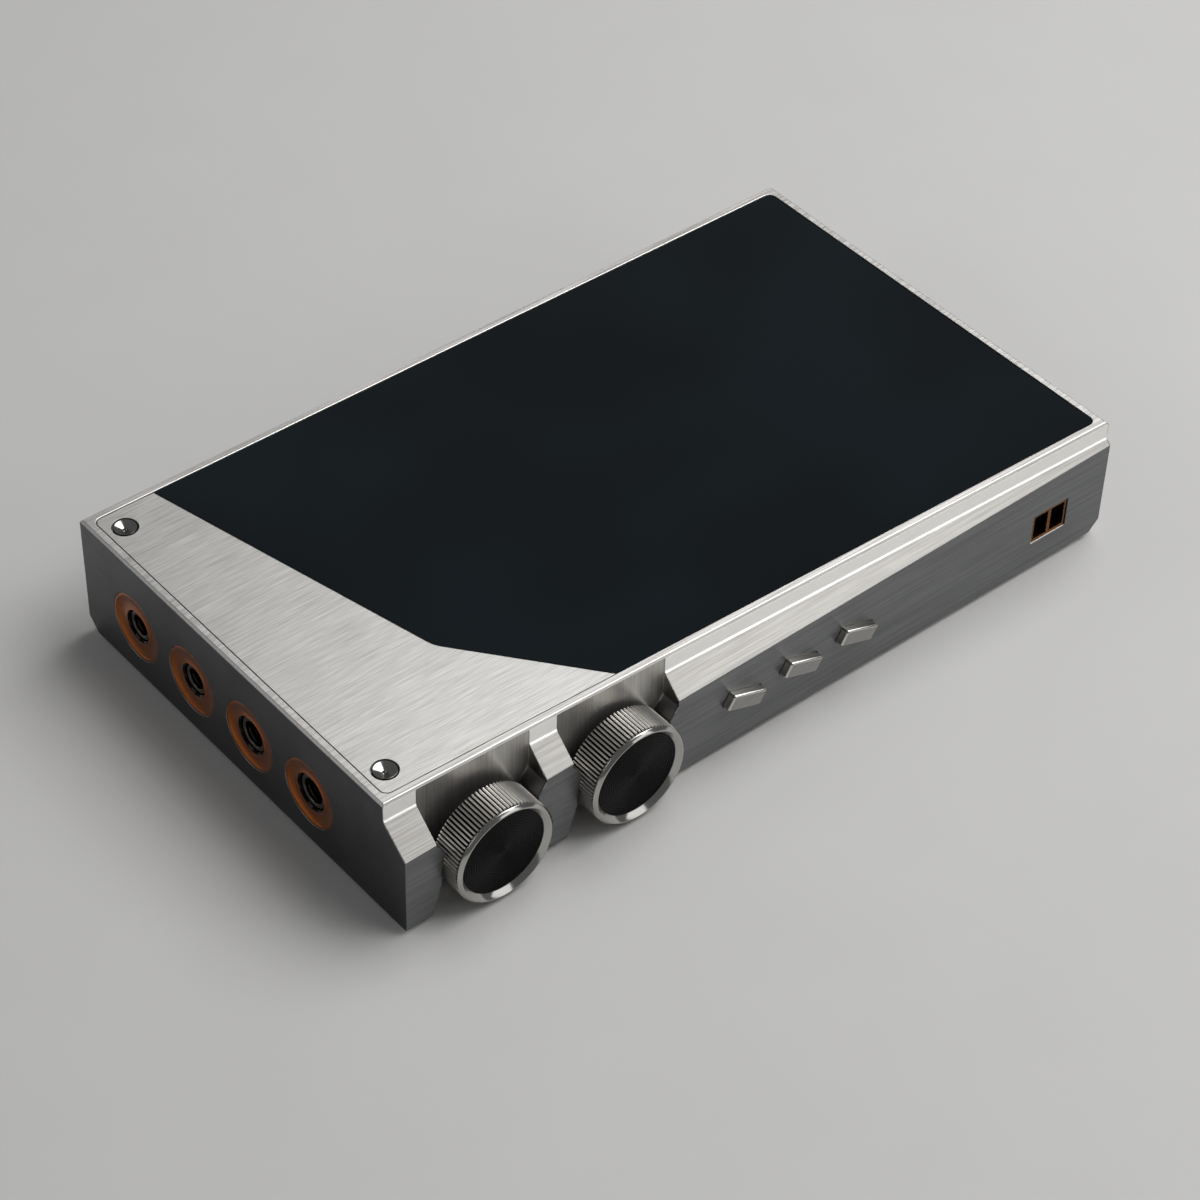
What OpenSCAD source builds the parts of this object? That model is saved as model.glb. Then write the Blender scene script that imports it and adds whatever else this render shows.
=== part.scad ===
// Digital audio player with four plug sockets, two knurled knobs and three slanted keys.
// It lies screen side down, as on a desk, with its glass back up. Sizes are in mm.
// +X is the knob side, +Y runs from the socket end to the far end, +Z is up out of the back.
// The origin is under the middle of the whole outline, on the face of the screen glass.

/* [Body] */
// length of the body from the socket end to the far end
body_l = 160; // [134:1:192]
// width from the plain side to the knob side face
body_w = 92.7; // [78:0.1:111]
// height of the milled frame, without the proud screen glass
frame_h = 24.8; // [24.6:0.1:30]
// width of the slanted ledge at the socket end
ledge_w = 5.7; // [4.5:0.1:7]
// width of the slanted ledge at the far end, where it has nearly run out
ledge_far_w = 1.1; // [0.6:0.1:3]
// height of the upright step under the rim on the knob side
step_h = 3.7; // [3:0.1:4.6]
// drop of the slanted ledge from the step to the side face at the socket end
ledge_drop = 4.9; // [3.5:0.1:6]
// small flat where the step turns into the ledge
step_flat = 0.3; // [0.1:0.1:0.4]
// bright chamfer round the top rim
rim_chamfer = 0.4; // [0.2:0.05:0.8]
// fine edge break on the lower corner of the knob side
low_break = 0.3; // [0.2:0.1:0.6]
// chamfer on the lower edge of the plain side and the far end
low_chamfer = 2.5; // [1:0.1:2.8]

/* [Walls] */
// width of the flat rim round the back panels
rim_w = 1.6; // [1.2:0.1:2.2]
// wall of the plain side, the socket end and the far end
wall = 4; // [3.2:0.1:5]
// wall behind the knob pockets
pocket_wall = 3.2; // [2.4:0.1:4.5]
// wall that the keys and the side socket go through
key_wall = 2.6; // [2:0.1:3.2]
// gap between fitted panels and the frame
panel_gap = 0.2; // [0.05:0.01:0.3]
// gap round parts that drop into the frame
part_gap = 0.3; // [0.1:0.05:0.6]
// gap between parts that are pressed or soldered together
seat_gap = 0.02; // [0.01:0.01:0.05]

/* [Back panels] */
// thickness of the back glass and the back plate
back_t = 1.2; // [0.8:0.1:1.6]
// how far the back panels lie under the rim
back_sink = 0.1; // [0:0.01:0.2]
// radius in the corners of the recess for the back panels
recess_r = 1.6; // [0.5:0.1:4]
// where the plate ends on the plain side, from the socket end
split_near = 14.1; // [11:0.1:20]
// where the plate edge bends, from the socket end
split_bend = 29; // [20:0.1:40]
// where the plate edge bends, from the rim on the knob side
bend_in = 24.4; // [15:0.1:40]
// how far the round of that bend reaches to each side
bend_reach = 1.5; // [0.5:0.1:4]
// where the plate ends on the knob side, from the socket end
split_far = 48.6; // [41:0.1:60]
// screw centres from the socket end
screw_y = 5.2; // [4.5:0.1:8]
// screw centres from the edges of the rim
screw_x = 6.3; // [5.5:0.1:9]
// radius of the back screw heads
screw_head_r = 2.2; // [1.8:0.1:2.6]
// radius of the back screw shanks
screw_shank_r = 0.9; // [0.6:0.05:1.1]
// length of the back screw shanks
screw_shank_l = 4.2; // [3:0.1:4.8]
// gap between a back screw head and the plate
screw_gap = 0.22; // [0.15:0.01:0.3]
// flat lip round the dimple in a screw head
screw_lip = 0.3; // [0.25:0.05:0.6]
// depth of the dimple in a screw head
screw_dimple_h = 0.75; // [0.4:0.05:0.9]
// edge break on a screw head
screw_break = 0.15; // [0.05:0.05:0.25]
// height of the screw bosses in the frame
boss_h = 5; // [4:0.1:5.2]
// radius of the screw bosses in the frame
boss_r = 3.2; // [2.6:0.1:3.6]

/* [Screen side] */
// thickness of the screen glass
glass_t = 1.6; // [1.2:0.1:2.2]
// how far the screen glass stands out of the frame
glass_proud = 0.8; // [0.4:0.1:1]
// margin from the socket end to the screen glass
glass_margin = 1.6; // [1.2:0.1:2.4]
// how far the screen glass stays behind the step wall, clear of the knob pockets
glass_step = 1.3; // [1:0.1:3]
// chamfer round the screen glass
glass_chamfer = 0.5; // [0.2:0.1:0.7]
// thickness of the display panel
display_t = 1.8; // [1.2:0.1:2.4]
// thickness of the inner plate that carries the boards
carrier_t = 1.2; // [0.8:0.1:1.6]

/* [Knobs] */
// first knob axis from the socket end
knob_y = 17.8; // [16:0.1:22]
// distance between the two knob axes
knob_pitch = 28.3; // [27:0.1:34]
// depth of the knob axes under the back face
knob_down = 15.2; // [13:0.1:15.3]
// radius over the knurling
knob_r = 9.9; // [8:0.1:10.2]
// length of a knob along its axis
knob_l = 7.2; // [6:0.1:9]
// how far a knob stands out of the side face
knob_proud = 3.8; // [3:0.1:6]
// least height of a knob over the table
knob_over = 0.4; // [0.3:0.05:1.2]
// length of the knurled band
knurl_l = 6.3; // [3:0.1:6.3]
// number of knurl teeth round a knob
knurl_teeth = 84; // [40:1:100]
// depth of the knurl teeth
knurl_depth = 0.35; // [0.2:0.05:0.5]
// width of the plain groove in front of the knurling
knob_groove_w = 0.15; // [0.1:0.05:0.6]
// polished chamfer on the front of a knob
knob_chamfer = 0.55; // [0.3:0.05:1.4]
// flat lip between that chamfer and the cone down to the disc
knob_lip = 0.1; // [0.05:0.05:0.3]
// depth of the hollow in the back of a knob
hollow_h = 1.6; // [1.2:0.1:2.5]
// how far the hub lies behind the back of a knob, clear of the nut
hub_in = 0.5; // [0.4:0.1:1]
// radius of the dark disc let into a knob
disc_r = 8.3; // [6:0.1:8.5]
// thickness of the dark disc
disc_t = 1; // [0.6:0.1:1.4]
// how far the dark disc lies under the knob front
disc_sink = 0.9; // [0.2:0.05:1.2]
// pitch of the fine grooves turned in the disc
disc_groove_pitch = 1; // [0.6:0.1:1.6]
// depth of the fine grooves turned in the disc
disc_groove_h = 0.1; // [0.05:0.01:0.2]
// radius of the knob shafts
shaft_r = 1.5; // [1.2:0.05:2]
// running clearance of a shaft in its bushing
shaft_clear = 0.05; // [0.02:0.01:0.1]
// radius of the threaded bushings
bushing_r = 3; // [2.6:0.1:3.6]
// how far a bushing stands out of the pocket floor
bushing_out = 1.7; // [1.5:0.1:1.8]
// radius over the corners of the bushing nuts
nut_r = 4.6; // [4:0.1:5.4]
// thickness of the bushing nuts
nut_t = 1.3; // [0.8:0.1:1.6]
// side of the square encoder cases
encoder_w = 7.4; // [6.5:0.1:7.4]
// depth of the encoder cases
encoder_d = 6.5; // [5:0.1:8]

/* [Knob pockets] */
// gap between a knob and the narrow waist of its pocket
waist_gap = 0.4; // [0.3:0.05:0.9]
// gap between a knob and the neck over it
neck_gap = 0.6; // [0.4:0.05:1]
// height of the neck over the knob axis
neck_up = 4.1; // [3:0.1:4.5]
// how far the waist reaches down from the knob axis
waist_low = 3; // [2:0.1:4]
// depth of the upper mouth of a pocket under the back face
mouth_down = 8.6; // [7.6:0.1:9.4]
// how far the pocket floor lies behind the step wall
floor_back = 0.1; // [0.1:0.05:0.3]
// radius of the spot face under a bushing nut
spot_r = 5.2; // [4.8:0.1:6]
// depth of the spot face under a bushing nut
spot_h = 0.35; // [0.3:0.05:0.6]
// how much wider the pocket is at the ledge than at its waist
mouth_flare = 1; // [0.3:0.1:1.4]
// how much wider the pocket is at the lower edge than at its waist
foot_flare = 2.1; // [0.5:0.1:2.4]
// radius in the corners between the pocket floor and its walls
pocket_corner_r = 1.5; // [0.5:0.1:8]

/* [Plug sockets] */
// distance between the plug socket axes
jack_pitch = 16.9; // [15:0.1:20]
// depth of the plug socket axes under the back face
jack_down = 14; // [13:0.1:14.4]
// shift of the four sockets away from the knob side
jack_shift = 2.5; // [0:0.1:2.5]
// outer radius of the bronze rings
ring_r = 6.7; // [5.4:0.1:8]
// thickness of the bronze rings
ring_t = 2; // [1.6:0.1:2.6]
// flat lip of the bronze rings
ring_lip = 0.45; // [0.3:0.05:0.8]
// depth of the dish in the bronze rings
ring_dish = 0.45; // [0.3:0.05:1.3]
// bore radius of the two smaller sockets, for a 3.5 mm plug
small_bore_r = 1.8; // [1.78:0.01:1.85]
// bore radius of the two larger sockets, for a 4.4 mm plug
large_bore_r = 2.25; // [2.22:0.01:2.3]
// wall of the nickel barrels
barrel_wall = 1.15; // [0.8:0.05:1.4]
// how far the mouth of a barrel lies behind the socket end
barrel_in = 0.8; // [0.7:0.05:1.4]
// length of the nickel barrels
barrel_l = 9; // [7:0.5:11]
// width of the black socket cases
case_w = 10.2; // [9.2:0.1:11.5]
// depth of the black socket cases behind the wall
case_d = 19; // [16:0.5:21]
// length of the plug bore from the end of the barrel on
bore_rest = 9; // [7:0.5:10.5]
// thickness of the contact leaves
leaf_t = 0.4; // [0.3:0.05:0.6]
// width of the contact leaves
leaf_w = 2.4; // [1.6:0.1:3]

/* [Keys] */
// first key centre from the socket end
key_y = 71.8; // [68:0.1:80]
// distance between key centres
key_pitch = 13; // [11.5:0.1:16]
// depth of the key centres under the back face
key_down = 14.6; // [13.6:0.1:15]
// length of a key along the side
key_l = 7.6; // [6:0.1:9.5]
// height of a key across the side
key_h = 2.9; // [2.2:0.1:3.6]
// drop of a key from its near end to its far end
key_slant = 2.3; // [1:0.1:2.8]
// lean of the ends of a key
key_lean = 1.1; // [0.4:0.1:1.8]
// radius of the key corners
key_corner_r = 0.55; // [0.3:0.05:0.9]
// how far a key stands out of the side face
key_proud = 1.6; // [1:0.1:2]
// polished chamfer round a key
key_chamfer = 0.3; // [0.15:0.05:0.5]
// gap between a key and its slot
key_gap = 0.15; // [0.1:0.01:0.25]
// thickness of the flange that holds a key in
key_flange_t = 0.8; // [0.5:0.1:1]
// how far the key flange laps over the wall
key_flange_lap = 0.7; // [0.5:0.1:1]
// travel of a key
key_travel = 0.35; // [0.2:0.05:0.5]
// free space left when a key is pressed home
key_spare = 0.1; // [0.05:0.01:0.2]
// size of a key switch along the side
switch_l = 4.2; // [3:0.1:5]
// height of a key switch
switch_h = 3.4; // [2.6:0.1:4.5]
// depth of a key switch
switch_d = 1.5; // [1:0.1:1.8]
// thickness of the small board behind the keys
key_board_t = 1; // [0.8:0.1:1.2]

/* [Side and end sockets] */
// side socket centre from the far end
side_socket_y = 13.9; // [12.5:0.1:20]
// depth of the side socket under the back face
side_socket_down = 15.4; // [14.8:0.1:16]
// length of the side socket opening
side_socket_l = 8.8; // [7:0.1:10]
// height of the side socket opening
side_socket_h = 6.4; // [5:0.1:7]
// sheet of the side socket
side_socket_t = 0.6; // [0.4:0.05:0.8]
// depth of the side socket
side_socket_d = 8; // [6:0.1:9]
// rib between the two windows of the side socket
side_rib_t = 0.8; // [0.5:0.1:1.2]
// width of the end socket shell
usb_w = 8.94; // [8.9:0.01:9.1]
// height of the end socket shell
usb_h = 3.26; // [3.2:0.01:3.4]
// sheet of the end socket shell
usb_t = 0.3; // [0.25:0.01:0.35]
// depth of the end socket shell
usb_d = 7.4; // [6.8:0.1:8]
// width of the tongue in the end socket
usb_tongue_w = 6.7; // [6.4:0.1:6.8]
// thickness of the tongue in the end socket
usb_tongue_t = 0.7; // [0.6:0.05:0.8]

/* [Inside] */
// thickness of the circuit boards
board_t = 1.4; // [1:0.1:1.6]
// height of the short posts under the amplifier board
low_post_h = 1.8; // [1.4:0.1:2.2]
// height of the tall posts under the main board
tall_post_h = 13; // [12.9:0.1:13.2]
// radius of the posts
post_r = 2; // [1.6:0.1:2.4]
// radius of the board screws
board_screw_r = 0.8; // [0.6:0.05:1]
// radius of the board screw heads
board_head_r = 1.6; // [1.2:0.1:1.9]
// height of the board screw heads
board_head_h = 1; // [0.7:0.1:1.3]
// length of the amplifier board behind the sockets
amp_l = 62; // [50:1:64]
// length of the strip between amplifier board and cells
mid_strip = 9; // [8:0.5:14]
// height of the battery cells
cell_h = 11; // [8:0.5:12]
// strip kept free between the cells and the far end
far_strip = 10; // [9:0.5:14]
// radius of the filter capacitors
cap_r = 4; // [3:0.1:4.5]
// height of the filter capacitors
cap_h = 8.5; // [6:0.1:9]
// length of the shield over the processor
shield_l = 30; // [20:1:36]
// width of the shield over the processor
shield_w = 26; // [20:1:30]
// height of the shields
shield_h = 2.4; // [1.6:0.1:3]
// sheet of the shields
shield_t = 0.3; // [0.2:0.05:0.5]
// length of the shield over the converters
converter_l = 22; // [16:1:26]

/* [Hidden] */
$fn = 64;
over = 1;
left_x = -(body_w + knob_proud) / 2;
side_x = left_x + body_w;
step_x = side_x - ledge_w;
near_y = -body_l / 2;
far_y = body_l / 2;
low_z = glass_proud;
top_z = low_z + frame_h;
step_z = top_z - step_h;
ledge_z = step_z - ledge_drop;
skew = atan((ledge_w - ledge_far_w) / body_l);
step_far_x = side_x - ledge_far_w;
in_x0 = left_x + wall;
in_x1 = step_x - pocket_wall;
in_y0 = near_y + wall;
in_y1 = far_y - wall;
panel_z = top_z - back_sink - back_t;
edge_margin = low_chamfer + 0.5;
knurl_end = min(knurl_l, knob_l - knob_chamfer - knob_groove_w - 0.2);
carrier_z = glass_t + display_t;
floor_z = carrier_z + carrier_t;
amp_z = floor_z + low_post_h;
amp_top = amp_z + board_t;
main_z = floor_z + tall_post_h;
main_top = main_z + board_t;
knob_z = max(top_z - knob_down, knob_r + knob_over);
jack_z = top_z - jack_down;
key_z = top_z - key_down;
side_socket_z = top_z - side_socket_down;
knob_front = side_x + knob_proud;
knob_back = knob_front - knob_l;
waist = knob_r + waist_gap;
neck = sqrt(knob_r * knob_r - neck_up * neck_up) + neck_gap;
barrel_end = near_y + barrel_in + barrel_l;
glass_x1 = step_x - glass_step;
pocket_end = knob_y + knob_pitch + waist + foot_flare;
relief_y = near_y + pocket_end + part_gap + 3;
relief_x = side_x - key_wall;
relief_z0 = floor_z + part_gap;
relief_z1 = ledge_z - key_wall / 2;
flange_x = relief_x - 0.05;
switch_x = flange_x - key_flange_t - key_travel - key_spare;
key_board_x = switch_x - switch_d;
post_in = post_r + 1.5;
jack_low = in_x0 + post_in + board_head_r + part_gap + case_w / 2;
jack_high = in_x1 - encoder_d - part_gap - case_w / 2;
jack_step = min(jack_pitch, (jack_high - jack_low) / 3);
jack_mid = (left_x + step_x) / 2 - jack_shift - 1.5 * jack_step;
jack_x0 = min(max(jack_mid, jack_low), jack_high - 3 * jack_step);
jack_bores = [small_bore_r, small_bore_r, large_bore_r, large_bore_r];
amp_end = in_y0 + amp_l;
strip_y = amp_end + mid_strip / 2;
cell_y0 = amp_end + mid_strip;
cell_y1 = in_y1 - far_strip;
cell_x0 = in_x0 + 2 * post_r + 4;
cell_x1 = in_x1 - 2 * post_r - 4;
cell_mid = (cell_x0 + cell_x1) / 2;
cap_y = in_y0 + case_d + cap_r + 3;
cap_pitch = 2 * cap_r + 2;

// A box between two corners.
module block(a, b) {
  translate(a) cube(b - a);
}

// Turns a shape drawn along +Z so that it runs along +X from the given point.
module along_x(p) {
  translate(p) rotate([0, 90, 0]) children();
}

// Turns a shape drawn along +Z so that it runs inward (+Y) from the socket end.
module from_end(x, z) {
  translate([x, near_y, z]) rotate([-90, 0, 0]) children();
}

// ---- milled frame ----

// Section of the frame across its length, before the step is milled.
module frame_section() {
  polygon([
    [left_x + low_chamfer, low_z],
    [side_x - low_break, low_z],
    [side_x, low_z + low_break],
    [side_x, top_z + over],
    [left_x + rim_chamfer + over, top_z + over],
    [left_x, top_z - rim_chamfer],
    [left_x, low_z + low_chamfer]
  ]);
}

// Carries a drawing to the step wall, which runs askew so that the ledge runs out.
module on_step() {
  translate([step_x, near_y, 0]) rotate([0, 0, -skew]) children();
}

// What is milled off outside the step wall: rim chamfer, wall, small flat, slanted ledge.
module step_cut() {
  reach = ledge_w + 3 * over;
  slope = ledge_drop / ledge_w;
  on_step() translate([0, body_l + 5 * over, 0]) rotate([90, 0, 0])
    linear_extrude(body_l + 10 * over) polygon([
      [0, step_z + step_flat],
      [step_flat, step_z - step_flat * slope],
      [reach, step_z - reach * slope],
      [reach, top_z + 2 * over],
      [-rim_chamfer - 2 * over, top_z + 2 * over],
      [0, top_z - rim_chamfer]
    ]);
}

// Side view of the frame: square socket end, chamfered top edges and far lower edge.
module frame_side() {
  low_slope = low_chamfer + over;
  polygon([
    [near_y, low_z - over],
    [near_y, top_z - rim_chamfer],
    [near_y + rim_chamfer, top_z],
    [far_y - rim_chamfer, top_z],
    [far_y, top_z - rim_chamfer],
    [far_y, low_z + low_chamfer],
    [far_y - low_slope, low_z - over]
  ]);
}

// The billet with its step, before it is milled out.
module frame_billet() {
  difference() {
    intersection() {
      translate([0, far_y + over, 0]) rotate([90, 0, 0])
        linear_extrude(body_l + 2 * over) frame_section();
      translate([left_x - over, 0, 0]) rotate([90, 0, 90])
        linear_extrude(body_w + 2 * over) frame_side();
    }
    step_cut();
  }
}

// Side view of a knob pocket: mouth, neck over the knob, waist beside it, wide foot.
module pocket_outline() {
  half = [
    [waist + mouth_flare, top_z + over], [waist + mouth_flare, top_z - mouth_down],
    [neck, knob_z + neck_up], [waist, knob_z], [waist, knob_z - waist_low],
    [waist + foot_flare, low_z], [waist + foot_flare, low_z - over]
  ];
  n = len(half) - 1;
  polygon(concat(half, [for (i = [0 : n]) [-half[n - i][0], half[n - i][1]]]));
}

// One knob pocket at the given way along the step: the outline milled in from the side,
// with round corners between floor and walls.
module pocket_cut(along) {
  foot = waist + foot_flare;
  r = pocket_corner_r;
  on_step() translate([-floor_back, along, 0]) difference() {
    rotate([90, 0, 90]) linear_extrude(ledge_w + 3 * over) pocket_outline();
    for (s = [-1, 1]) translate([0, s * foot, low_z - 2 * over]) difference() {
      translate([-over, -r, 0]) cube([r + over, 2 * r, frame_h + 4 * over]);
      translate([r, -s * r, -over]) cylinder(r = r, h = frame_h + 6 * over);
      translate([-2 * over, -s * 2 * r - r, -over])
        cube([r + 3 * over, 2 * r, frame_h + 6 * over]);
    }
  }
}

// Where a knob axis meets the step wall.
function step_at(along) = step_x + along * tan(skew);

// Floor of the spot face of knob number i.
function spot_x(i) = step_at(knob_y + i * knob_pitch) - floor_back - spot_h;

// Outline of a key, drawn with y along the side and z up; grow widens it.
module key_outline(grow) {
  r = key_corner_r + grow;
  a = key_l / 2 - key_corner_r;
  b = key_h / 2 - key_corner_r;
  s = key_slant / 2;
  e = key_lean / 2;
  corners = [[a + e, b - s, 0], [-a + e, b + s, 90], [-a - e, -b + s, 180], [a - e, -b - s, 270]];
  polygon([for (c = corners, t = [0 : 18 : 90])
    [c[0] + r * cos(c[2] + t), c[1] + r * sin(c[2] + t)]]);
}

// Carries a key drawing to its place, with +Z of the drawing pointing out of the side.
module at_key(i, x) {
  translate([x, near_y + key_y + i * key_pitch, key_z]) rotate([90, 0, 90]) children();
}

// A flat slot shape with round ends, for the end socket.
module round_slot(w, h) {
  translate([-(w - h) / 2, -h / 2]) square([w - h, h]);
  for (s = [-1, 1]) translate([s * (w - h) / 2, 0]) circle(d = h);
}

// Carries an end socket drawing to the far end; +Z of the drawing points inward.
module at_usb(y) {
  translate([left_x + (step_x - left_x) / 2, y, main_z - usb_h / 2 - seat_gap])
    rotate([90, 0, 0]) children();
}

module screw_places() {
  for (x = [left_x + screw_x, step_x - screw_x])
    translate([x, near_y + screw_y, 0]) children();
}

// Outline of the back inside the rim, with round corners; the knob side follows the step.
module back_outline(inset) {
  r = max(recess_r + rim_w - inset, 0.1);
  back = inset + r;
  side = atan((step_far_x - step_x) / (body_l - 2 * inset));
  near_x = step_x - inset + r * tan(side) - r / cos(side);
  far_x = step_far_x - inset - r * tan(side) - r / cos(side);
  corners = [
    [near_x, near_y + back, -90, -side], [far_x, far_y - back, -side, 90],
    [left_x + back, far_y - back, 90, 180], [left_x + back, near_y + back, 180, 270]
  ];
  polygon([for (c = corners, t = [0 : 0.125 : 1]) let (a = c[2] + t * (c[3] - c[2]))
    [c[0] + r * cos(a), c[1] + r * sin(a)]]);
}

module housing() {
  color([0.72, 0.72, 0.71]) difference() {
    union() {
      difference() {
        frame_billet();
        // recess for the back plate and the back glass
        translate([0, 0, panel_z]) linear_extrude(frame_h) back_outline(rim_w);
        // room for the boards and the cells
        block([in_x0, in_y0, low_z - over], [in_x1, in_y1, top_z]);
        // recess for the screen glass
        block([left_x + edge_margin, near_y + glass_margin, low_z - over],
          [glass_x1, far_y - edge_margin, glass_t]);
        // room behind the keys
        block([in_x1 - over, relief_y, relief_z0], [relief_x, in_y1, relief_z1]);
      }
      screw_places() translate([0, 0, panel_z - boss_h]) cylinder(r = boss_r, h = boss_h);
    }
    screw_places() translate([0, 0, panel_z - boss_h - over])
      cylinder(r = screw_shank_r + seat_gap, h = boss_h + 2 * over);
    for (i = [0, 1]) {
      pocket_cut((knob_y + i * knob_pitch) / cos(skew));
      along_x([spot_x(i), near_y + knob_y + i * knob_pitch, knob_z])
        cylinder(r = spot_r, h = 2 * over);
      along_x([in_x1 - over, near_y + knob_y + i * knob_pitch, knob_z])
        cylinder(r = bushing_r + seat_gap, h = pocket_wall + ledge_w);
    }
    for (i = [0 : 3]) from_end(jack_x0 + i * jack_step, jack_z) {
      translate([0, 0, -over]) cylinder(r = ring_r + seat_gap, h = ring_t + over);
      cylinder(r = jack_bores[i] + barrel_wall + seat_gap, h = wall + over);
    }
    for (i = [0 : 2]) at_key(i, relief_x - over)
      linear_extrude(key_wall + 2 * over) key_outline(key_gap);
    block([relief_x - over, far_y - side_socket_y - side_socket_l / 2,
        side_socket_z - side_socket_h / 2],
      [side_x + over, far_y - side_socket_y + side_socket_l / 2,
        side_socket_z + side_socket_h / 2]);
    at_usb(far_y + over) linear_extrude(wall + 2 * over)
      round_slot(usb_w + 2 * panel_gap, usb_h + 2 * panel_gap);
  }
}

// ---- back: steel plate, dark glass, two screws ----

// The point at the given distance from p on the way to q.
function towards(p, q, distance) = p + (q - p) * distance / norm(q - p);

// The plate's side of the line between plate and glass, moved by shift; its bend is round.
module plate_side(shift) {
  split_x = step_at(split_far) - rim_w;
  split_slope = (split_far - split_bend) / (split_x - step_x + bend_in);
  far_end = [split_x, near_y + split_far + shift];
  bend = [step_x - bend_in, near_y + split_bend + shift];
  near_end = [left_x + rim_w, near_y + split_near + shift];
  from = towards(bend, far_end, bend_reach);
  to = towards(bend, near_end, bend_reach);
  polygon(concat(
    [[left_x - over, near_y - over], [side_x, near_y - over],
      [side_x, far_end[1] + (side_x - split_x) * split_slope], far_end],
    [for (t = [0 : 0.2 : 1])
      (1 - t) * (1 - t) * from + 2 * t * (1 - t) * bend + t * t * to],
    [near_end, [left_x - over, near_end[1]]]
  ));
}

module back_plate() {
  color([0.78, 0.78, 0.77]) difference() {
    translate([0, 0, panel_z]) linear_extrude(back_t) intersection() {
      back_outline(rim_w + panel_gap);
      plate_side(-panel_gap / 2);
    }
    screw_places() translate([0, 0, panel_z - over])
      cylinder(r = screw_head_r + screw_gap, h = back_t + 2 * over);
  }
}

module back_glass() {
  color([0.09, 0.11, 0.13]) translate([0, 0, panel_z]) linear_extrude(back_t)
    difference() {
      back_outline(rim_w + panel_gap);
      plate_side(panel_gap / 2);
    }
}

module back_screws() {
  color([0.8, 0.8, 0.8]) screw_places() rotate_extrude() polygon([
    [0, panel_z - screw_shank_l], [screw_shank_r, panel_z - screw_shank_l],
    [screw_shank_r, panel_z], [screw_head_r, panel_z],
    [screw_head_r, panel_z + back_t - screw_break],
    [screw_head_r - screw_break, panel_z + back_t],
    [screw_head_r - screw_lip, panel_z + back_t], [0, panel_z + back_t - screw_dimple_h]
  ]);
}

// ---- screen side ----

module screen_glass() {
  x0 = left_x + edge_margin + panel_gap;
  x1 = glass_x1 - panel_gap;
  y0 = near_y + glass_margin + panel_gap;
  y1 = far_y - edge_margin - panel_gap;
  color([0.05, 0.05, 0.06]) intersection() {
    translate([0, y1, 0]) rotate([90, 0, 0]) linear_extrude(y1 - y0) polygon([
      [x0, glass_t], [x0, glass_chamfer], [x0 + glass_chamfer, 0],
      [x1 - glass_chamfer, 0], [x1, glass_chamfer], [x1, glass_t]]);
    translate([x0, 0, 0]) rotate([90, 0, 90]) linear_extrude(x1 - x0) polygon([
      [y0, glass_t], [y0, glass_chamfer], [y0 + glass_chamfer, 0],
      [y1 - glass_chamfer, 0], [y1, glass_chamfer], [y1, glass_t]]);
  }
}

module display_panel() {
  color([0.15, 0.15, 0.17]) block([in_x0 + part_gap, in_y0 + part_gap, glass_t],
    [in_x1 - part_gap, in_y1 - part_gap, carrier_z]);
}

// ---- carrier, boards, posts, cells ----

module carrier_plate() {
  color([0.6, 0.62, 0.64]) block([in_x0 + part_gap, in_y0 + part_gap, carrier_z],
    [in_x1 - part_gap, in_y1 - part_gap, floor_z]);
}

module low_post_places() {
  for (x = [in_x0 + post_in, in_x1 - post_in], y = [in_y0 + post_in, amp_end - post_in])
    translate([x, y, 0]) children();
}

module tall_post_places() {
  for (x = [in_x0 + post_in, in_x1 - post_in], y = [strip_y, in_y1 - post_in])
    translate([x, y, 0]) children();
}

module low_posts() {
  color([0.8, 0.66, 0.35]) low_post_places() translate([0, 0, floor_z]) difference() {
    cylinder(r = post_r, h = low_post_h);
    translate([0, 0, -over]) cylinder(r = board_screw_r + seat_gap, h = low_post_h + 2 * over);
  }
}

module tall_posts() {
  color([0.8, 0.66, 0.35]) tall_post_places() translate([0, 0, floor_z]) difference() {
    cylinder(r = post_r, h = tall_post_h);
    translate([0, 0, tall_post_h - 4]) cylinder(r = board_screw_r + seat_gap, h = 5);
  }
}

// Screw with a flat round head; z = 0 is under the head.
module board_screw(shank_l) {
  translate([0, 0, -shank_l]) cylinder(r = board_screw_r, h = shank_l + board_head_h / 2);
  cylinder(r = board_head_r, h = board_head_h);
}

module board_screws() {
  color([0.3, 0.3, 0.32]) {
    low_post_places() translate([0, 0, amp_top]) board_screw(board_t + low_post_h);
    tall_post_places() translate([0, 0, main_top]) board_screw(board_t + 3.5);
  }
}

module amplifier_board() {
  color([0.05, 0.25, 0.18]) difference() {
    block([in_x0 + part_gap, in_y0 + part_gap, amp_z], [in_x1 - part_gap, amp_end, amp_top]);
    low_post_places() translate([0, 0, amp_z - over])
      cylinder(r = board_screw_r + seat_gap, h = board_t + 2 * over);
    // notches round the encoders
    for (i = [0, 1]) translate([in_x1, near_y + knob_y + i * knob_pitch, 0])
      block([-encoder_d - part_gap, -encoder_w / 2 - part_gap, amp_z - over],
        [over, encoder_w / 2 + part_gap, amp_top + over]);
  }
}

module main_board() {
  color([0.05, 0.22, 0.3]) difference() {
    block([in_x0 + part_gap, in_y0 + part_gap, main_z],
      [in_x1 - part_gap, in_y1 - part_gap, main_top]);
    tall_post_places() translate([0, 0, main_z - over])
      cylinder(r = board_screw_r + seat_gap, h = board_t + 2 * over);
  }
}

module battery_cell_a() {
  color([0.75, 0.76, 0.78]) block([cell_x0, cell_y0, floor_z],
    [cell_mid - part_gap, cell_y1, floor_z + cell_h]);
}

module battery_cell_b() {
  color([0.75, 0.76, 0.78]) block([cell_mid + part_gap, cell_y0, floor_z],
    [cell_x1, cell_y1, floor_z + cell_h]);
}

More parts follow.
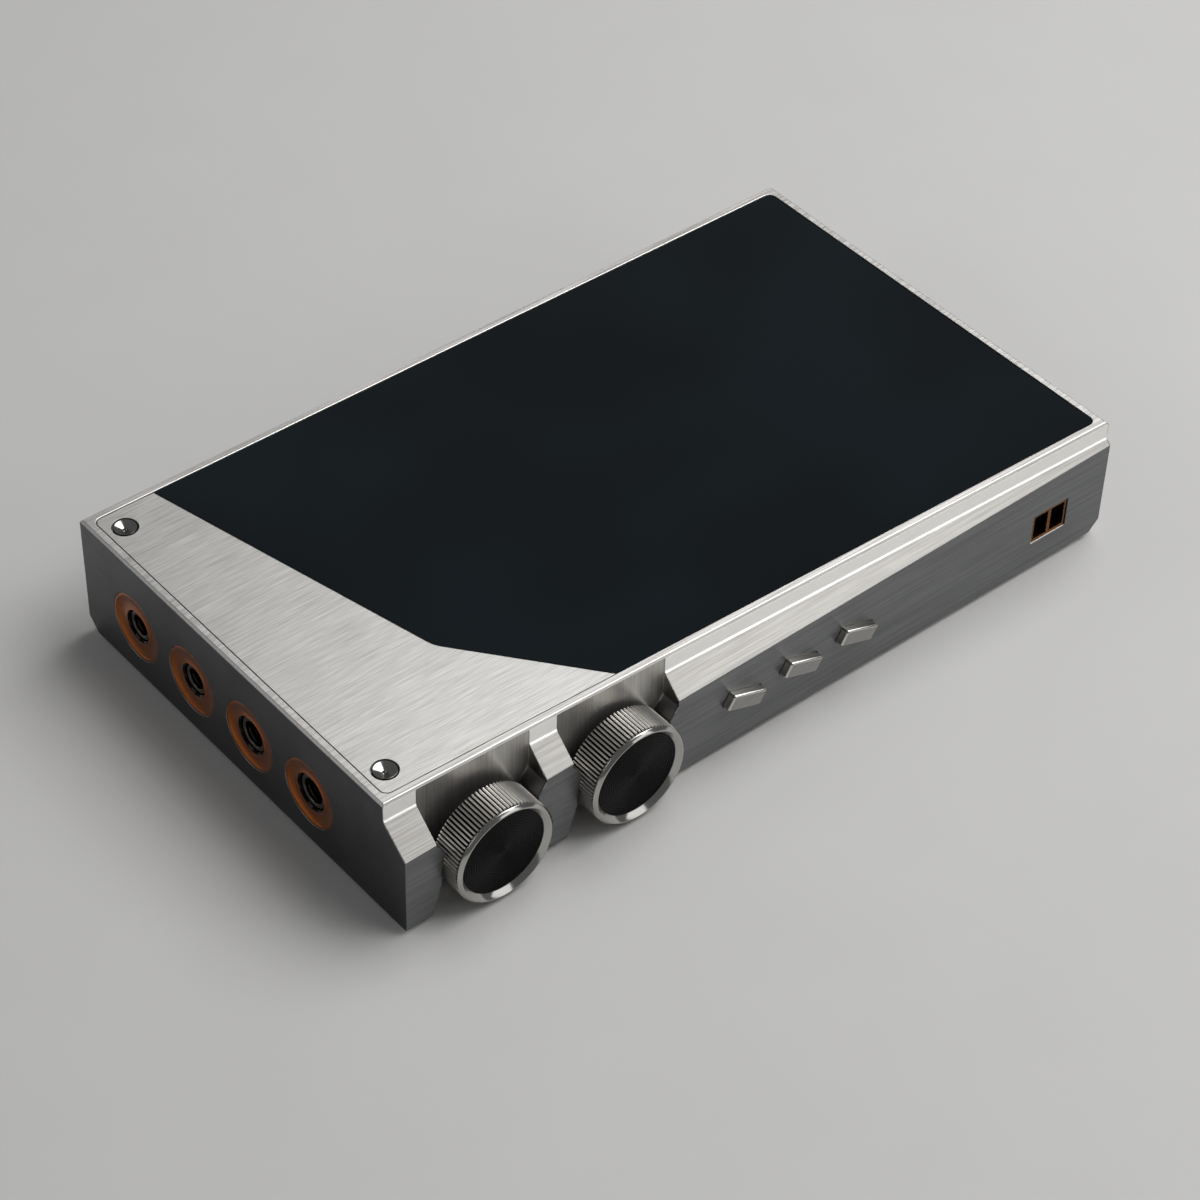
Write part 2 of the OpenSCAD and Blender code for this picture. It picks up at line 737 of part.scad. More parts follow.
module filter_capacitors() {
  color([0.2, 0.2, 0.24])
    for (i = [0 : 3], j = [0, 1])
      translate([in_x0 + 3 * post_in + i * cap_pitch, cap_y + j * cap_pitch, amp_top])
        cylinder(r = cap_r, h = cap_h);
}

// Open-bottomed sheet box, low corner at p.
module shield(p, l, w) {
  translate(p) difference() {
    cube([l, w, shield_h]);
    translate([shield_t, shield_t, -over])
      cube([l - 2 * shield_t, w - 2 * shield_t, shield_h + over - shield_t]);
  }
}

module processor_shield() {
  color([0.7, 0.7, 0.72])
    shield([in_x0 + 3 * post_in, cell_y0, main_top], shield_l, shield_w);
}

module converter_shield() {
  color([0.7, 0.5, 0.35])
    shield([in_x0 + 3 * post_in, in_y0 + case_d, main_top], shield_l, converter_l);
}

// ---- knobs and what carries them ----

module encoder(i) {
  y = near_y + knob_y + i * knob_pitch;
  difference() {
    union() {
      block([in_x1 - encoder_d, y - encoder_w / 2, knob_z - encoder_w / 2],
        [in_x1, y + encoder_w / 2, knob_z + encoder_w / 2]);
      along_x([in_x1 - over, y, knob_z])
        cylinder(r = bushing_r, h = spot_x(i) + bushing_out - in_x1 + over);
    }
    along_x([in_x1 - encoder_d + 1.5, y, knob_z])
      cylinder(r = shaft_r + shaft_clear, h = encoder_d + pocket_wall + ledge_w + over);
  }
}

module volume_encoder() {
  color([0.2, 0.2, 0.22]) encoder(0);
}

module select_encoder() {
  color([0.2, 0.2, 0.22]) encoder(1);
}

module encoder_nuts() {
  color([0.75, 0.75, 0.75]) for (i = [0, 1])
    along_x([spot_x(i), near_y + knob_y + i * knob_pitch, knob_z]) difference() {
      cylinder(r = nut_r, h = nut_t, $fn = 6);
      translate([0, 0, -over]) cylinder(r = bushing_r + seat_gap, h = nut_t + 2 * over);
    }
}

// Straight knurling: pointed teeth round the back part of a knob.
module knurl_outline() {
  root = knob_r - knurl_depth;
  polygon([for (i = [0 : 2 * knurl_teeth - 1])
    let (a = i * 180 / knurl_teeth, r = i % 2 == 0 ? knob_r : root) [r * cos(a), r * sin(a)]]);
}

// Knob drawn along +Z: knurled band, plain groove, smooth band, chamfer, front recess.
module knob() {
  root = knob_r - knurl_depth;
  band_z = knurl_end + knob_groove_w;
  rest_z = knob_l - disc_sink - disc_t;
  flat_r = knob_r - 0.8 * knob_chamfer - 0.15;
  difference() {
    union() {
      linear_extrude(knurl_end) knurl_outline();
      translate([0, 0, knurl_end - 0.5]) cylinder(r = root - 0.15, h = 1);
      rotate_extrude() polygon([
        [0, band_z], [knob_r - 0.15, band_z], [knob_r, band_z + 0.15],
        [knob_r, knob_l - knob_chamfer], [flat_r + 0.15, knob_l - 0.1],
        [flat_r, knob_l], [0, knob_l]
      ]);
    }
    // seat of the disc and the cone round it
    rotate_extrude() polygon([
      [0, rest_z], [disc_r + seat_gap, rest_z], [disc_r + seat_gap, knob_l - disc_sink],
      [flat_r - knob_lip, knob_l], [flat_r - knob_lip, knob_l + over], [0, knob_l + over]
    ]);
    // hollow back, with the hub set in so that it clears the nut
    translate([0, 0, -over]) difference() {
      cylinder(r = root - 1.6, h = hollow_h + over);
      translate([0, 0, hub_in + over]) cylinder(r = nut_r - 0.4, h = hollow_h);
    }
    translate([0, 0, -over]) cylinder(r = shaft_r + seat_gap, h = rest_z - 0.8 + over);
  }
}

// Dark disc drawn along +Z with fine turned rings on its front.
module disc() {
  n = floor((disc_r - 1) / disc_groove_pitch);
  difference() {
    cylinder(r = disc_r, h = disc_t);
    for (i = [1 : n]) translate([0, 0, disc_t - disc_groove_h]) difference() {
      cylinder(r = i * disc_groove_pitch + 0.12, h = 1);
      translate([0, 0, -over]) cylinder(r = i * disc_groove_pitch - 0.12, h = 3);
    }
  }
}

module shaft(i) {
  x0 = in_x1 - encoder_d + 1.5 + part_gap;
  x1 = knob_back + knob_l - disc_sink - disc_t - 0.8;
  along_x([x0, near_y + knob_y + i * knob_pitch, knob_z]) cylinder(r = shaft_r, h = x1 - x0);
}

module volume_knob() {
  color([0.76, 0.76, 0.75]) along_x([knob_back, near_y + knob_y, knob_z]) knob();
}

module volume_disc() {
  color([0.08, 0.08, 0.08])
    along_x([knob_front - disc_sink - disc_t, near_y + knob_y, knob_z]) disc();
}

module volume_shaft() {
  color([0.7, 0.7, 0.7]) shaft(0);
}

module select_knob() {
  color([0.76, 0.76, 0.75]) along_x([knob_back, near_y + knob_y + knob_pitch, knob_z]) knob();
}

module select_disc() {
  color([0.08, 0.08, 0.08])
    along_x([knob_front - disc_sink - disc_t, near_y + knob_y + knob_pitch, knob_z]) disc();
}

module select_shaft() {
  color([0.7, 0.7, 0.7]) shaft(1);
}

// ---- plug sockets ----

// Dished bronze ring, let in flush with the socket end.
module jack_ring(i) {
  inner = jack_bores[i] + barrel_wall + seat_gap;
  from_end(jack_x0 + i * jack_step, jack_z) rotate_extrude() polygon([
    [inner, ring_dish], [inner + 0.25, ring_dish - 0.1],
    [ring_r - ring_lip - 0.15, 0.2], [ring_r - ring_lip, 0.05],
    [ring_r - 0.1, 0.05], [ring_r, 0.15], [ring_r, ring_t], [inner, ring_t]
  ]);
}

// Nickel barrel that guides the plug; its mouth lies a little way inside the ring.
module jack_barrel(i) {
  r = jack_bores[i];
  from_end(jack_x0 + i * jack_step, jack_z) translate([0, 0, barrel_in])
    rotate_extrude() polygon([
      [r + 0.35, 0], [r + barrel_wall - 0.2, 0], [r + barrel_wall, 0.2],
      [r + barrel_wall, barrel_l], [r, barrel_l], [r, 0.35]
    ]);
}

// Black case behind the wall, with the rest of the plug bore and two leaf slots.
module jack_case(i) {
  r = jack_bores[i];
  y0 = in_y0 + seat_gap;
  x = jack_x0 + i * jack_step;
  difference() {
    block([x - case_w / 2, y0, amp_top],
      [x + case_w / 2, y0 + case_d, 2 * jack_z - amp_top - 0.2]);
    from_end(x, jack_z) cylinder(r = r + barrel_wall + seat_gap,
      h = barrel_end - near_y + seat_gap);
    from_end(x, jack_z) cylinder(r = r + 0.1, h = barrel_end - near_y + bore_rest);
    for (y = [barrel_end + 2, barrel_end + 6])
      block([x - leaf_w / 2 - 0.1, y, amp_top - over],
        [x + leaf_w / 2 + 0.1, y + leaf_t + 0.2, jack_z]);
  }
}

module jack_leaves() {
  color([0.85, 0.7, 0.35]) for (i = [0 : 3]) {
    x = jack_x0 + i * jack_step;
    for (y = [barrel_end + 2.1, barrel_end + 6.1])
      block([x - leaf_w / 2, y, amp_top],
        [x + leaf_w / 2, y + leaf_t, jack_z - jack_bores[i] - 0.15]);
  }
}

module jack_ring_1() {
  color([0.72, 0.42, 0.18]) jack_ring(0);
}

module jack_ring_2() {
  color([0.72, 0.42, 0.18]) jack_ring(1);
}

module jack_ring_3() {
  color([0.72, 0.42, 0.18]) jack_ring(2);
}

module jack_ring_4() {
  color([0.72, 0.42, 0.18]) jack_ring(3);
}

module jack_barrel_1() {
  color([0.7, 0.68, 0.62]) jack_barrel(0);
}

module jack_barrel_2() {
  color([0.7, 0.68, 0.62]) jack_barrel(1);
}

module jack_barrel_3() {
  color([0.7, 0.68, 0.62]) jack_barrel(2);
}

module jack_barrel_4() {
  color([0.7, 0.68, 0.62]) jack_barrel(3);
}

module jack_case_1() {
  color([0.1, 0.1, 0.1]) jack_case(0);
}

module jack_case_2() {
  color([0.1, 0.1, 0.1]) jack_case(1);
}

module jack_case_3() {
  color([0.1, 0.1, 0.1]) jack_case(2);
}

module jack_case_4() {
  color([0.1, 0.1, 0.1]) jack_case(3);
}

// ---- keys ----

// Key with a flange inside the wall and a chamfered front.
module key(i) {
  at_key(i, flange_x - key_flange_t) linear_extrude(key_flange_t)
    key_outline(key_flange_lap);
  at_key(i, flange_x - key_flange_t / 2)
    linear_extrude(side_x + key_proud - key_chamfer - flange_x + key_flange_t / 2)
      key_outline(0);
  at_key(i, side_x + key_proud - key_chamfer)
    linear_extrude(key_chamfer, scale = 1 - 2 * key_chamfer / key_h) key_outline(0);
}

module key_back() {
  color([0.75, 0.75, 0.74]) key(0);
}

module key_play() {
  color([0.75, 0.75, 0.74]) key(1);
}

module key_next() {
  color([0.75, 0.75, 0.74]) key(2);
}

module key_switches() {
  color([0.3, 0.3, 0.32]) for (i = [0 : 2])
    at_key(i, key_board_x)
      translate([-switch_l / 2, -switch_h / 2, 0]) cube([switch_l, switch_h, switch_d]);
}

module key_board() {
  color([0.05, 0.25, 0.18]) block(
    [key_board_x - key_board_t, near_y + key_y - switch_l, relief_z0 + seat_gap],
    [key_board_x, near_y + key_y + 2 * key_pitch + switch_l, relief_z1 - seat_gap]);
}

// ---- side socket and end socket ----

module side_socket() {
  y = far_y - side_socket_y;
  l = side_socket_l - 2 * seat_gap;
  h = side_socket_h - 2 * seat_gap;
  x0 = side_x - 0.2 - side_socket_d;
  color([0.75, 0.5, 0.2]) difference() {
    block([x0, y - l / 2, side_socket_z - h / 2], [side_x - 0.2, y + l / 2, side_socket_z + h / 2]);
    for (s = [-1, 1]) {
      a = s > 0 ? side_rib_t / 2 : -l / 2 + side_socket_t;
      b = s > 0 ? l / 2 - side_socket_t : -side_rib_t / 2;
      block([x0 + side_socket_t, y + a, side_socket_z - h / 2 + side_socket_t],
        [side_x + over, y + b, side_socket_z + h / 2 - side_socket_t]);
    }
  }
}

module usb_shell() {
  color([0.7, 0.7, 0.72]) at_usb(far_y - 0.3) difference() {
    linear_extrude(usb_d) round_slot(usb_w, usb_h);
    translate([0, 0, -over]) linear_extrude(usb_d + over - 0.8)
      round_slot(usb_w - 2 * usb_t, usb_h - 2 * usb_t);
  }
}

module usb_tongue() {
  color([0.1, 0.1, 0.1]) at_usb(far_y - 0.3 - 1.2)
    translate([-usb_tongue_w / 2, -usb_tongue_t / 2, 0])
      cube([usb_tongue_w, usb_tongue_t, usb_d - 1.2 - 0.8 - seat_gap]);
}

housing();
back_plate();
back_glass();
back_screws();
screen_glass();
display_panel();
carrier_plate();
amplifier_board();
main_board();
low_posts();
tall_posts();
board_screws();
battery_cell_a();
battery_cell_b();
filter_capacitors();
processor_shield();
converter_shield();
volume_encoder();
select_encoder();
encoder_nuts();
volume_knob();
volume_disc();
volume_shaft();
select_knob();
select_disc();
select_shaft();
jack_ring_1();
jack_ring_2();
jack_ring_3();
jack_ring_4();
jack_barrel_1();
jack_barrel_2();
jack_barrel_3();
jack_barrel_4();
jack_case_1();
jack_case_2();
jack_case_3();
jack_case_4();
jack_leaves();
key_back();
key_play();
key_next();
key_switches();
key_board();
side_socket();
usb_shell();
usb_tongue();
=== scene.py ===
import bmesh
import bpy
import numpy as np
from mathutils import Matrix, Vector


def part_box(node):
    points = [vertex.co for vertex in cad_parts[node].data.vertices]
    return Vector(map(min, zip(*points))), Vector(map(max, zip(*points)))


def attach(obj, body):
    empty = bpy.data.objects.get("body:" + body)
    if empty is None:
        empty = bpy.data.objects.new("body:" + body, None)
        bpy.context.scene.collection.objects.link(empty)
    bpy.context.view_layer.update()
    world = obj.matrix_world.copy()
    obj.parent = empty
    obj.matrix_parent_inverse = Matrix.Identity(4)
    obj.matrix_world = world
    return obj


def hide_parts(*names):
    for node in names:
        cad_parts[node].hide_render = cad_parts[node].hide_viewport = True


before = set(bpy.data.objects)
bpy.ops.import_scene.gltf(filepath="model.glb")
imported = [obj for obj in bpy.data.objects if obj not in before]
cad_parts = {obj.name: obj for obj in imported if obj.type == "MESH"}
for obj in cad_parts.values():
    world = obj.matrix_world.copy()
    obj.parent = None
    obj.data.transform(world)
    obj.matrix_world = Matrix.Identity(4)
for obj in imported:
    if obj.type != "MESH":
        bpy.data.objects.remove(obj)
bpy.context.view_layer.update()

# ---- milled frame ----
# The body is one block of stainless steel, milled hollow, with a slanted ledge, two knob
# pockets and a satin finish. The faces were brushed lengthwise, the pockets keep their
# upright cutter marks, and the edges were broken by hand; the upward ones carry a painted
# highlight.

housing_low, housing_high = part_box("housing")
knob_places = [sum((Vector(corner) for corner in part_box(name)), Vector()) / 2
               for name in ("volume_knob", "select_knob")]
# Where the cuts of the mill lie, in metres: the pocket floors in from the knob side; the
# height at which the pockets stop narrowing, the foot of the step's wall and the foot of the
# ledge, all down from the rim; and half the width of a pocket, at its foot and at its top.
pocket_depth = 0.0060
pocket_shoulder, step_foot, ledge_foot = 0.0086, 0.0037, 0.0096
pocket_half_low, pocket_half_high = 0.0126, 0.01135
# Finishes run into each other over a tenth of a millimetre. A face belongs to a side where it
# lies within 0.4 mm of that side's plane, as no wall behind it does.
hair = 0.0001
near_side = 0.0004
# A face begins to count as square to an axis as its normal's part along it passes these.
square_on = {1: 0.75, 2: 0.85}
# Nearly all of a noise lies between these values, so they become its darkest and lightest.
noise_span = {1: 0.35, 2: 0.65}
# The way of the brushing, along Y. Its small other parts keep it off the ends' own normals.
brushed_along = (0.03, 1.0, 0.02)
# How far the step's wall leans back, as a tangent: 24 degrees.
step_lean = 0.45


def linear(hex_colour):
    """Turns an sRGB hex colour into linear light: each channel c of 0 to 1 becomes
    c / 12.92 up to 0.04045, and ((c + 0.055) / 1.055) ** 2.4 above."""
    c = np.array([int(hex_colour[k:k + 2], 16) for k in (1, 3, 5)]) / 255
    return (*np.where(c <= 0.04045, c / 12.92, ((c + 0.055) / 1.055) ** 2.4).tolist(), 1.0)


def start_finish(name, **metal):
    """A new material with its shader and output; metal sets the shader's own sockets."""
    finish = bpy.data.materials.new(name)
    finish.use_nodes = True
    tree = finish.node_tree
    shader = tree.nodes["Principled BSDF"]
    for socket, value in metal.items():
        shader.inputs[socket.replace("_", " ")].default_value = value
    return finish, tree, shader


def put(tree, kind, inputs=None, out=0, **settings):
    """Adds one node with its settings, links or fills its inputs, and returns one output."""
    node = tree.nodes.new("ShaderNode" + kind)
    for key, value in settings.items():
        setattr(node, key, value)
    for socket, value in (inputs or {}).items():
        if isinstance(value, bpy.types.NodeSocket):
            tree.links.new(value, node.inputs[socket])
        else:
            node.inputs[socket].default_value = value
    return node.outputs[out] if len(node.outputs) else node


def wear(piece_name, finish):
    """Gives a CAD node its finish."""
    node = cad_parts[piece_name]
    node.data.materials.clear()
    node.data.materials.append(finish)


# Satin 316 steel, brushed along the length: soft lengthwise streaks, pearly light.
frame_steel, tree, shader = start_finish("satin brushed stainless steel, milled", Metallic=1.0,
                                         Anisotropic=0.75)
spot = put(tree, "TexCoord", out="Object")
facing = put(tree, "NewGeometry", out="Normal")
facing_x = put(tree, "SeparateXYZ", {0: facing}, out="X")
facing_y = put(tree, "SeparateXYZ", {0: facing}, out="Y")
facing_z = put(tree, "SeparateXYZ", {0: facing}, out="Z")
at_x = put(tree, "SeparateXYZ", {0: spot}, out="X")
at_y = put(tree, "SeparateXYZ", {0: spot}, out="Y")
at_z = put(tree, "SeparateXYZ", {0: spot}, out="Z")
# Streaks 0.3 mm wide and about 20 mm long; real ones are finer than the render can show.
long_run = put(tree, "Mapping", {0: spot, "Scale": (3300.0, 50.0, 3300.0)})
streaks = put(tree, "TexNoise", {"Vector": long_run, "Scale": 1.0, "Detail": 3.0})
# On the two ends the streaks run across instead, along X.
cross_run = put(tree, "Mapping", {0: spot, "Scale": (60.0, 3300.0, 3300.0)})
cross_streaks = put(tree, "TexNoise", {"Vector": cross_run, "Scale": 1.0, "Detail": 3.0})
is_end = put(tree, "MapRange", {0: put(tree, "Math", {0: facing_y}, operation="ABSOLUTE"),
                                **square_on})
grain = put(tree, "Mix", {0: is_end, 2: streaks, 3: cross_streaks})
# The two side faces proper, not the step wall or the walls inside.
off_middle = put(tree, "Math", {0: put(tree, "Math", {
    0: at_x, 1: (housing_low.x + housing_high.x) / 2}, operation="SUBTRACT")},
    operation="ABSOLUTE")
reach = (housing_high.x - housing_low.x) / 2
is_side = put(tree, "Math", {
    0: put(tree, "MapRange", {0: put(tree, "Math", {0: facing_x}, operation="ABSOLUTE"),
                              **square_on}),
    1: put(tree, "MapRange", {0: off_middle, 1: reach - near_side, 2: reach - near_side + hair}),
}, operation="MULTIPLY")
# The ledge is the one face that looks out and up at once.
is_ledge = put(tree, "Math", {0: put(tree, "MapRange", {0: facing_x, 1: 0.3, 2: 0.5}),
                              1: put(tree, "MapRange", {0: facing_z, 1: 0.5, 2: 0.6})},
               operation="MULTIPLY")
# The pockets: beside a knob axis, out from the step wall and in from the side face.
aside = [put(tree, "Math", {0: put(tree, "Math", {0: at_y, 1: place.y}, operation="SUBTRACT")},
             operation="ABSOLUTE") for place in knob_places]
aside = put(tree, "Math", {0: aside[0], 1: aside[1]}, operation="MINIMUM")
half_width = put(tree, "MapRange", {0: at_z, 1: housing_low.z,
                                    2: housing_high.z - pocket_shoulder,
                                    3: pocket_half_low, 4: pocket_half_high})
pocket = put(tree, "MapRange", {0: put(tree, "Math", {0: aside, 1: half_width},
                                       operation="SUBTRACT"), 1: hair / 2, 2: -hair / 2})
under_side = {1: housing_high.x - near_side, 2: housing_high.x - near_side - hair}
for what, limits in (
        (at_x, {1: housing_high.x - pocket_depth, 2: housing_high.x - pocket_depth + hair}),
        (at_x, under_side),
        (at_z, {1: housing_high.z - near_side + hair, 2: housing_high.z - near_side}),
        (facing_z, {1: 0.6, 2: 0.4})):
    pocket = put(tree, "Math", {0: pocket, 1: put(tree, "MapRange", {0: what, **limits})},
                 operation="MULTIPLY")
# The wall of the step, between the rim and the ledge, as far as no pocket cuts it.
is_step = put(tree, "MapRange", {0: pocket, 1: 1.0, 2: 0.0})
for what, limits in (
        (facing_x, square_on), (at_x, {1: 0.0, 2: hair}), (at_x, under_side),
        (at_z, {1: housing_high.z - step_foot - 2 * hair, 2: housing_high.z - step_foot})):
    is_step = put(tree, "Math", {0: is_step, 1: put(tree, "MapRange", {0: what, **limits})},
                  operation="MULTIPLY")
# Cutter marks 0.4 mm apart across the pocket floor, upright, a little uneven.
marks_run = put(tree, "Mapping", {0: spot, "Scale": (1500.0, 2500.0, 70.0)})
marks = put(tree, "TexNoise", {"Vector": marks_run, "Scale": 1.0, "Detail": 2.0})
relief = put(tree, "Mix", {0: pocket, 2: grain, 3: marks})
# Polished edges, rounded over a quarter of a millimetre: where the rounded normal leaves
# the flat one.
rounded = put(tree, "Bevel", {"Radius": 0.00024}, samples=8)
bend = put(tree, "VectorMath", {0: rounded, 1: facing}, out="Value", operation="DOT_PRODUCT")
# The edges of the rim, the step and the ledge that face up are polished, and painted lighter as
# a painted highlight.
edge = put(tree, "Math", {
    0: put(tree, "MapRange", {0: bend, 1: 0.995, 2: 0.93}),
    1: put(tree, "MapRange", {0: put(tree, "SeparateXYZ", {0: rounded}, out="Z"),
                              1: 0.15, 2: 0.4})}, operation="MULTIPLY")
edge = put(tree, "Math", {0: edge, 1: put(tree, "MapRange", {
    0: at_z, 1: housing_high.z - ledge_foot - 2 * hair, 2: housing_high.z - ledge_foot})},
    operation="MULTIPLY")
span = put(tree, "MapRange", {0: relief, **noise_span})
# The rim has the steel's base tone. The step's wall is painted lighter, a painted reflection;
# the ledge and the sides are painted darker and the ends darkest, painted shade; the ends have
# faint cloudy patches about 9 mm wide.
clouds = put(tree, "TexNoise", {"Vector": spot, "Scale": 110.0, "Detail": 2.0})
tone = put(tree, "Mix", {0: span, 6: linear("#B4B2AF"), 7: linear("#D0CECB")}, out=2,
           data_type="RGBA")
# Painted shade: the side faces get a darker tone of the same steel.
side_painted_shade = put(tree, "Mix", {0: span, 6: linear("#6E6F70"), 7: linear("#808182")}, out=2,
                data_type="RGBA")
# Painted shade: the ends get the darkest tone of the same steel, with faint cloudy patches.
end_painted_shade = put(tree, "Mix", {0: put(tree, "MapRange", {0: clouds, **noise_span}),
                             6: linear("#505155"), 7: linear("#595A5E")}, out=2,
               data_type="RGBA")
# Painted shade: the ledge gets a darker tone of the same steel than the rim.
ledge_painted_shade = put(tree, "Mix", {0: span, 6: linear("#8E8C89"), 7: linear("#A5A39F")}, out=2,
                 data_type="RGBA")
tone = put(tree, "Mix", {0: is_ledge, 6: tone, 7: ledge_painted_shade}, out=2, data_type="RGBA")
tone = put(tree, "Mix", {0: is_side, 6: tone, 7: side_painted_shade}, out=2, data_type="RGBA")
# Painted reflection: the step's wall is painted a light tone.
tone = put(tree, "Mix", {0: is_step, 6: tone, 7: linear("#E6E4E0")}, out=2, data_type="RGBA")
tone = put(tree, "Mix", {0: is_end, 6: tone, 7: end_painted_shade}, out=2, data_type="RGBA")
pocket_tone = put(tree, "Mix", {0: marks, 6: linear("#A09F9E"), 7: linear("#E0DCD6")}, out=2,
                  data_type="RGBA")
tone = put(tree, "Mix", {0: pocket, 6: tone, 7: pocket_tone}, out=2, data_type="RGBA")
# Painted highlight: the edges that face up get a lighter tone.
tone = put(tree, "Mix", {0: edge, 6: tone, 7: linear("#E4E2DE")}, out=2, data_type="RGBA")
tree.links.new(tone, shader.inputs["Base Color"])
rough = put(tree, "MapRange", {0: span, 3: 0.36, 4: 0.43})
rough = put(tree, "Mix", {0: is_step, 2: rough, 3: 0.42})
rough = put(tree, "Mix", {0: pocket, 2: rough, 3: 0.3})
rough = put(tree, "Mix", {0: edge, 2: rough, 3: 0.28})
tree.links.new(rough, shader.inputs["Roughness"])
# The step's wall is upright, but it catches the light as a slightly slanted face would, so
# its shading leans back by up to 24 degrees.
leaning = put(tree, "VectorMath", {0: put(tree, "VectorMath", {
    0: is_step, 1: (0.0, 0.0, step_lean), 2: rounded}, operation="MULTIPLY_ADD")},
    operation="NORMALIZE")
bump = put(tree, "Bump", {"Strength": 0.25, "Distance": 0.00002, "Height": relief,
                          "Normal": leaning})
tree.links.new(bump, shader.inputs["Normal"])
spread = put(tree, "VectorMath", {0: facing, 1: brushed_along}, operation="CROSS_PRODUCT")
tree.links.new(spread, shader.inputs["Tangent"])
wear("housing", frame_steel)

# ---- back plate ----
# A steel sheet set flush into the back over the sockets and the first knob, held by two
# screws. It was brushed on a belt, so long straight streaks run the length of the body.

plate_steel, tree, shader = start_finish("belt brushed stainless steel sheet", Metallic=1.0,
                                         Anisotropic=0.8)
spot = put(tree, "TexCoord", out="Object")
facing = put(tree, "NewGeometry", out="Normal")
# Belt brushed steel: long silky streaks that stretch the highlights across the sheet. Fine
# ones, 0.2 mm wide and 7 mm long, lie over broad ones, 0.7 mm wide and 50 mm long.
fine_run = put(tree, "Mapping", {0: spot, "Scale": (5200.0, 140.0, 400.0)})
fine = put(tree, "TexNoise", {"Vector": fine_run, "Scale": 1.0, "Detail": 4.0,
                              "Roughness": 0.6})
broad_run = put(tree, "Mapping", {0: spot, "Scale": (1500.0, 20.0, 100.0)})
broad = put(tree, "TexNoise", {"Vector": broad_run, "Scale": 1.0, "Detail": 2.0})
streaks = put(tree, "Mix", {0: 0.12, 2: fine, 3: broad})
span = put(tree, "MapRange", {0: streaks, 1: 0.33, 2: 0.67})
tone = put(tree, "Mix", {0: span, 6: linear("#B6B4B1"), 7: linear("#D8D7D3")}, out=2,
           data_type="RGBA")
# Its edges are broken by a tenth of a millimetre.
rounded = put(tree, "Bevel", {"Radius": 0.0001}, samples=4)
tree.links.new(tone, shader.inputs["Base Color"])
tree.links.new(put(tree, "MapRange", {0: span, 3: 0.33, 4: 0.39}), shader.inputs["Roughness"])
tree.links.new(put(tree, "Bump", {"Strength": 0.3, "Distance": 0.00001, "Height": streaks,
                                  "Normal": rounded}), shader.inputs["Normal"])
tree.links.new(put(tree, "VectorMath", {0: facing, 1: brushed_along},
                   operation="CROSS_PRODUCT"), shader.inputs["Tangent"])
wear("back_plate", plate_steel)

# ---- back glass ----
# A sheet of toughened glass, printed blue-black from behind and glued in flush. Its face
# is fire polished, with the faintest haze of wiping left on it.

back_glass, tree, shader = start_finish("toughened glass, printed blue-black from behind",
                                        IOR=1.5)
spot = put(tree, "TexCoord", out="Object")
# Glass over print: a deep, even blue-black with clean reflections. The print varies over
# about 30 mm, and the haze of wiping lies in strokes 4 mm wide and 17 mm long.
clouds = put(tree, "TexNoise", {"Vector": spot, "Scale": 30.0, "Detail": 1.0})
haze_run = put(tree, "Mapping", {0: spot, "Rotation": (0.0, 0.0, 0.6),
                                 "Scale": (260.0, 60.0, 100.0)})
haze = put(tree, "TexNoise", {"Vector": haze_run, "Scale": 1.0, "Detail": 3.0})
tone = put(tree, "Mix", {0: put(tree, "MapRange", {0: clouds, **noise_span}),
                         6: linear("#070E12"), 7: linear("#0C161B")}, out=2, data_type="RGBA")
tree.links.new(tone, shader.inputs["Base Color"])
tree.links.new(put(tree, "MapRange", {0: haze, 1: 0.3, 2: 0.7, 3: 0.045, 4: 0.055}),
               shader.inputs["Roughness"])
wear("back_glass", back_glass)

# ---- screws of the back plate ----
# Two turned steel screws with a polished, dished head; a small dark drive hole sits at the
# bottom of the dish. They stand in clear holes, and the side of each head is painted near black,
# so a painted shade shows as a dark ring round each head.


def skin(name, grids, crisp=32.0):
    """One mesh from grids of points, rows by columns, whose columns close on themselves.
    Face (i, j) joins points (i, j), (i, j + 1), (i + 1, j + 1), (i + 1, j). Its map is the
    way along the rows and the way round, in metres. Rows of one point become poles."""
    corners, faces, ways, start = [], [], [], 0
    for points in grids:
        rows, columns = points.shape[:2]
        i, j = np.meshgrid(np.arange(rows - 1), np.arange(columns), indexing="ij")
        right = (j + 1) % columns
        faces.append(start + np.stack([i * columns + j, i * columns + right,
                                       (i + 1) * columns + right, (i + 1) * columns + j], -1))
        steps = np.linalg.norm(np.diff(points, axis=0), axis=2).mean(1)
        along = np.concatenate([[0.0], np.cumsum(steps)])
        girth = np.linalg.norm(np.diff(points, axis=1), axis=2).sum(1).max() / columns
        ways.append(np.stack([np.stack([along[i], j * girth], -1),
                              np.stack([along[i], (j + 1) * girth], -1),
                              np.stack([along[i + 1], (j + 1) * girth], -1),
                              np.stack([along[i + 1], j * girth], -1)], 2).reshape(-1, 2))
        corners.append(points.reshape(-1, 3))
        start += rows * columns
    mesh = bpy.data.meshes.new(name)
    mesh.from_pydata(np.concatenate(corners).tolist(), [],
                     np.concatenate([f.reshape(-1, 4) for f in faces]).tolist())
    layer = mesh.uv_layers.new(name="way")
    layer.data.foreach_set("uv", np.concatenate(ways).astype(np.float32).ravel())
    shape = bmesh.new()
    shape.from_mesh(mesh)
    bmesh.ops.remove_doubles(shape, verts=shape.verts, dist=1e-7)
    bmesh.ops.recalc_face_normals(shape, faces=shape.faces)
    shape.to_mesh(mesh)
    shape.free()
    mesh.polygons.foreach_set("use_smooth", [True] * len(mesh.polygons))
    mesh.set_sharp_from_angle(angle=np.radians(crisp))
    piece = bpy.data.objects.new(name, mesh)
    bpy.context.scene.collection.objects.link(piece)
    return piece


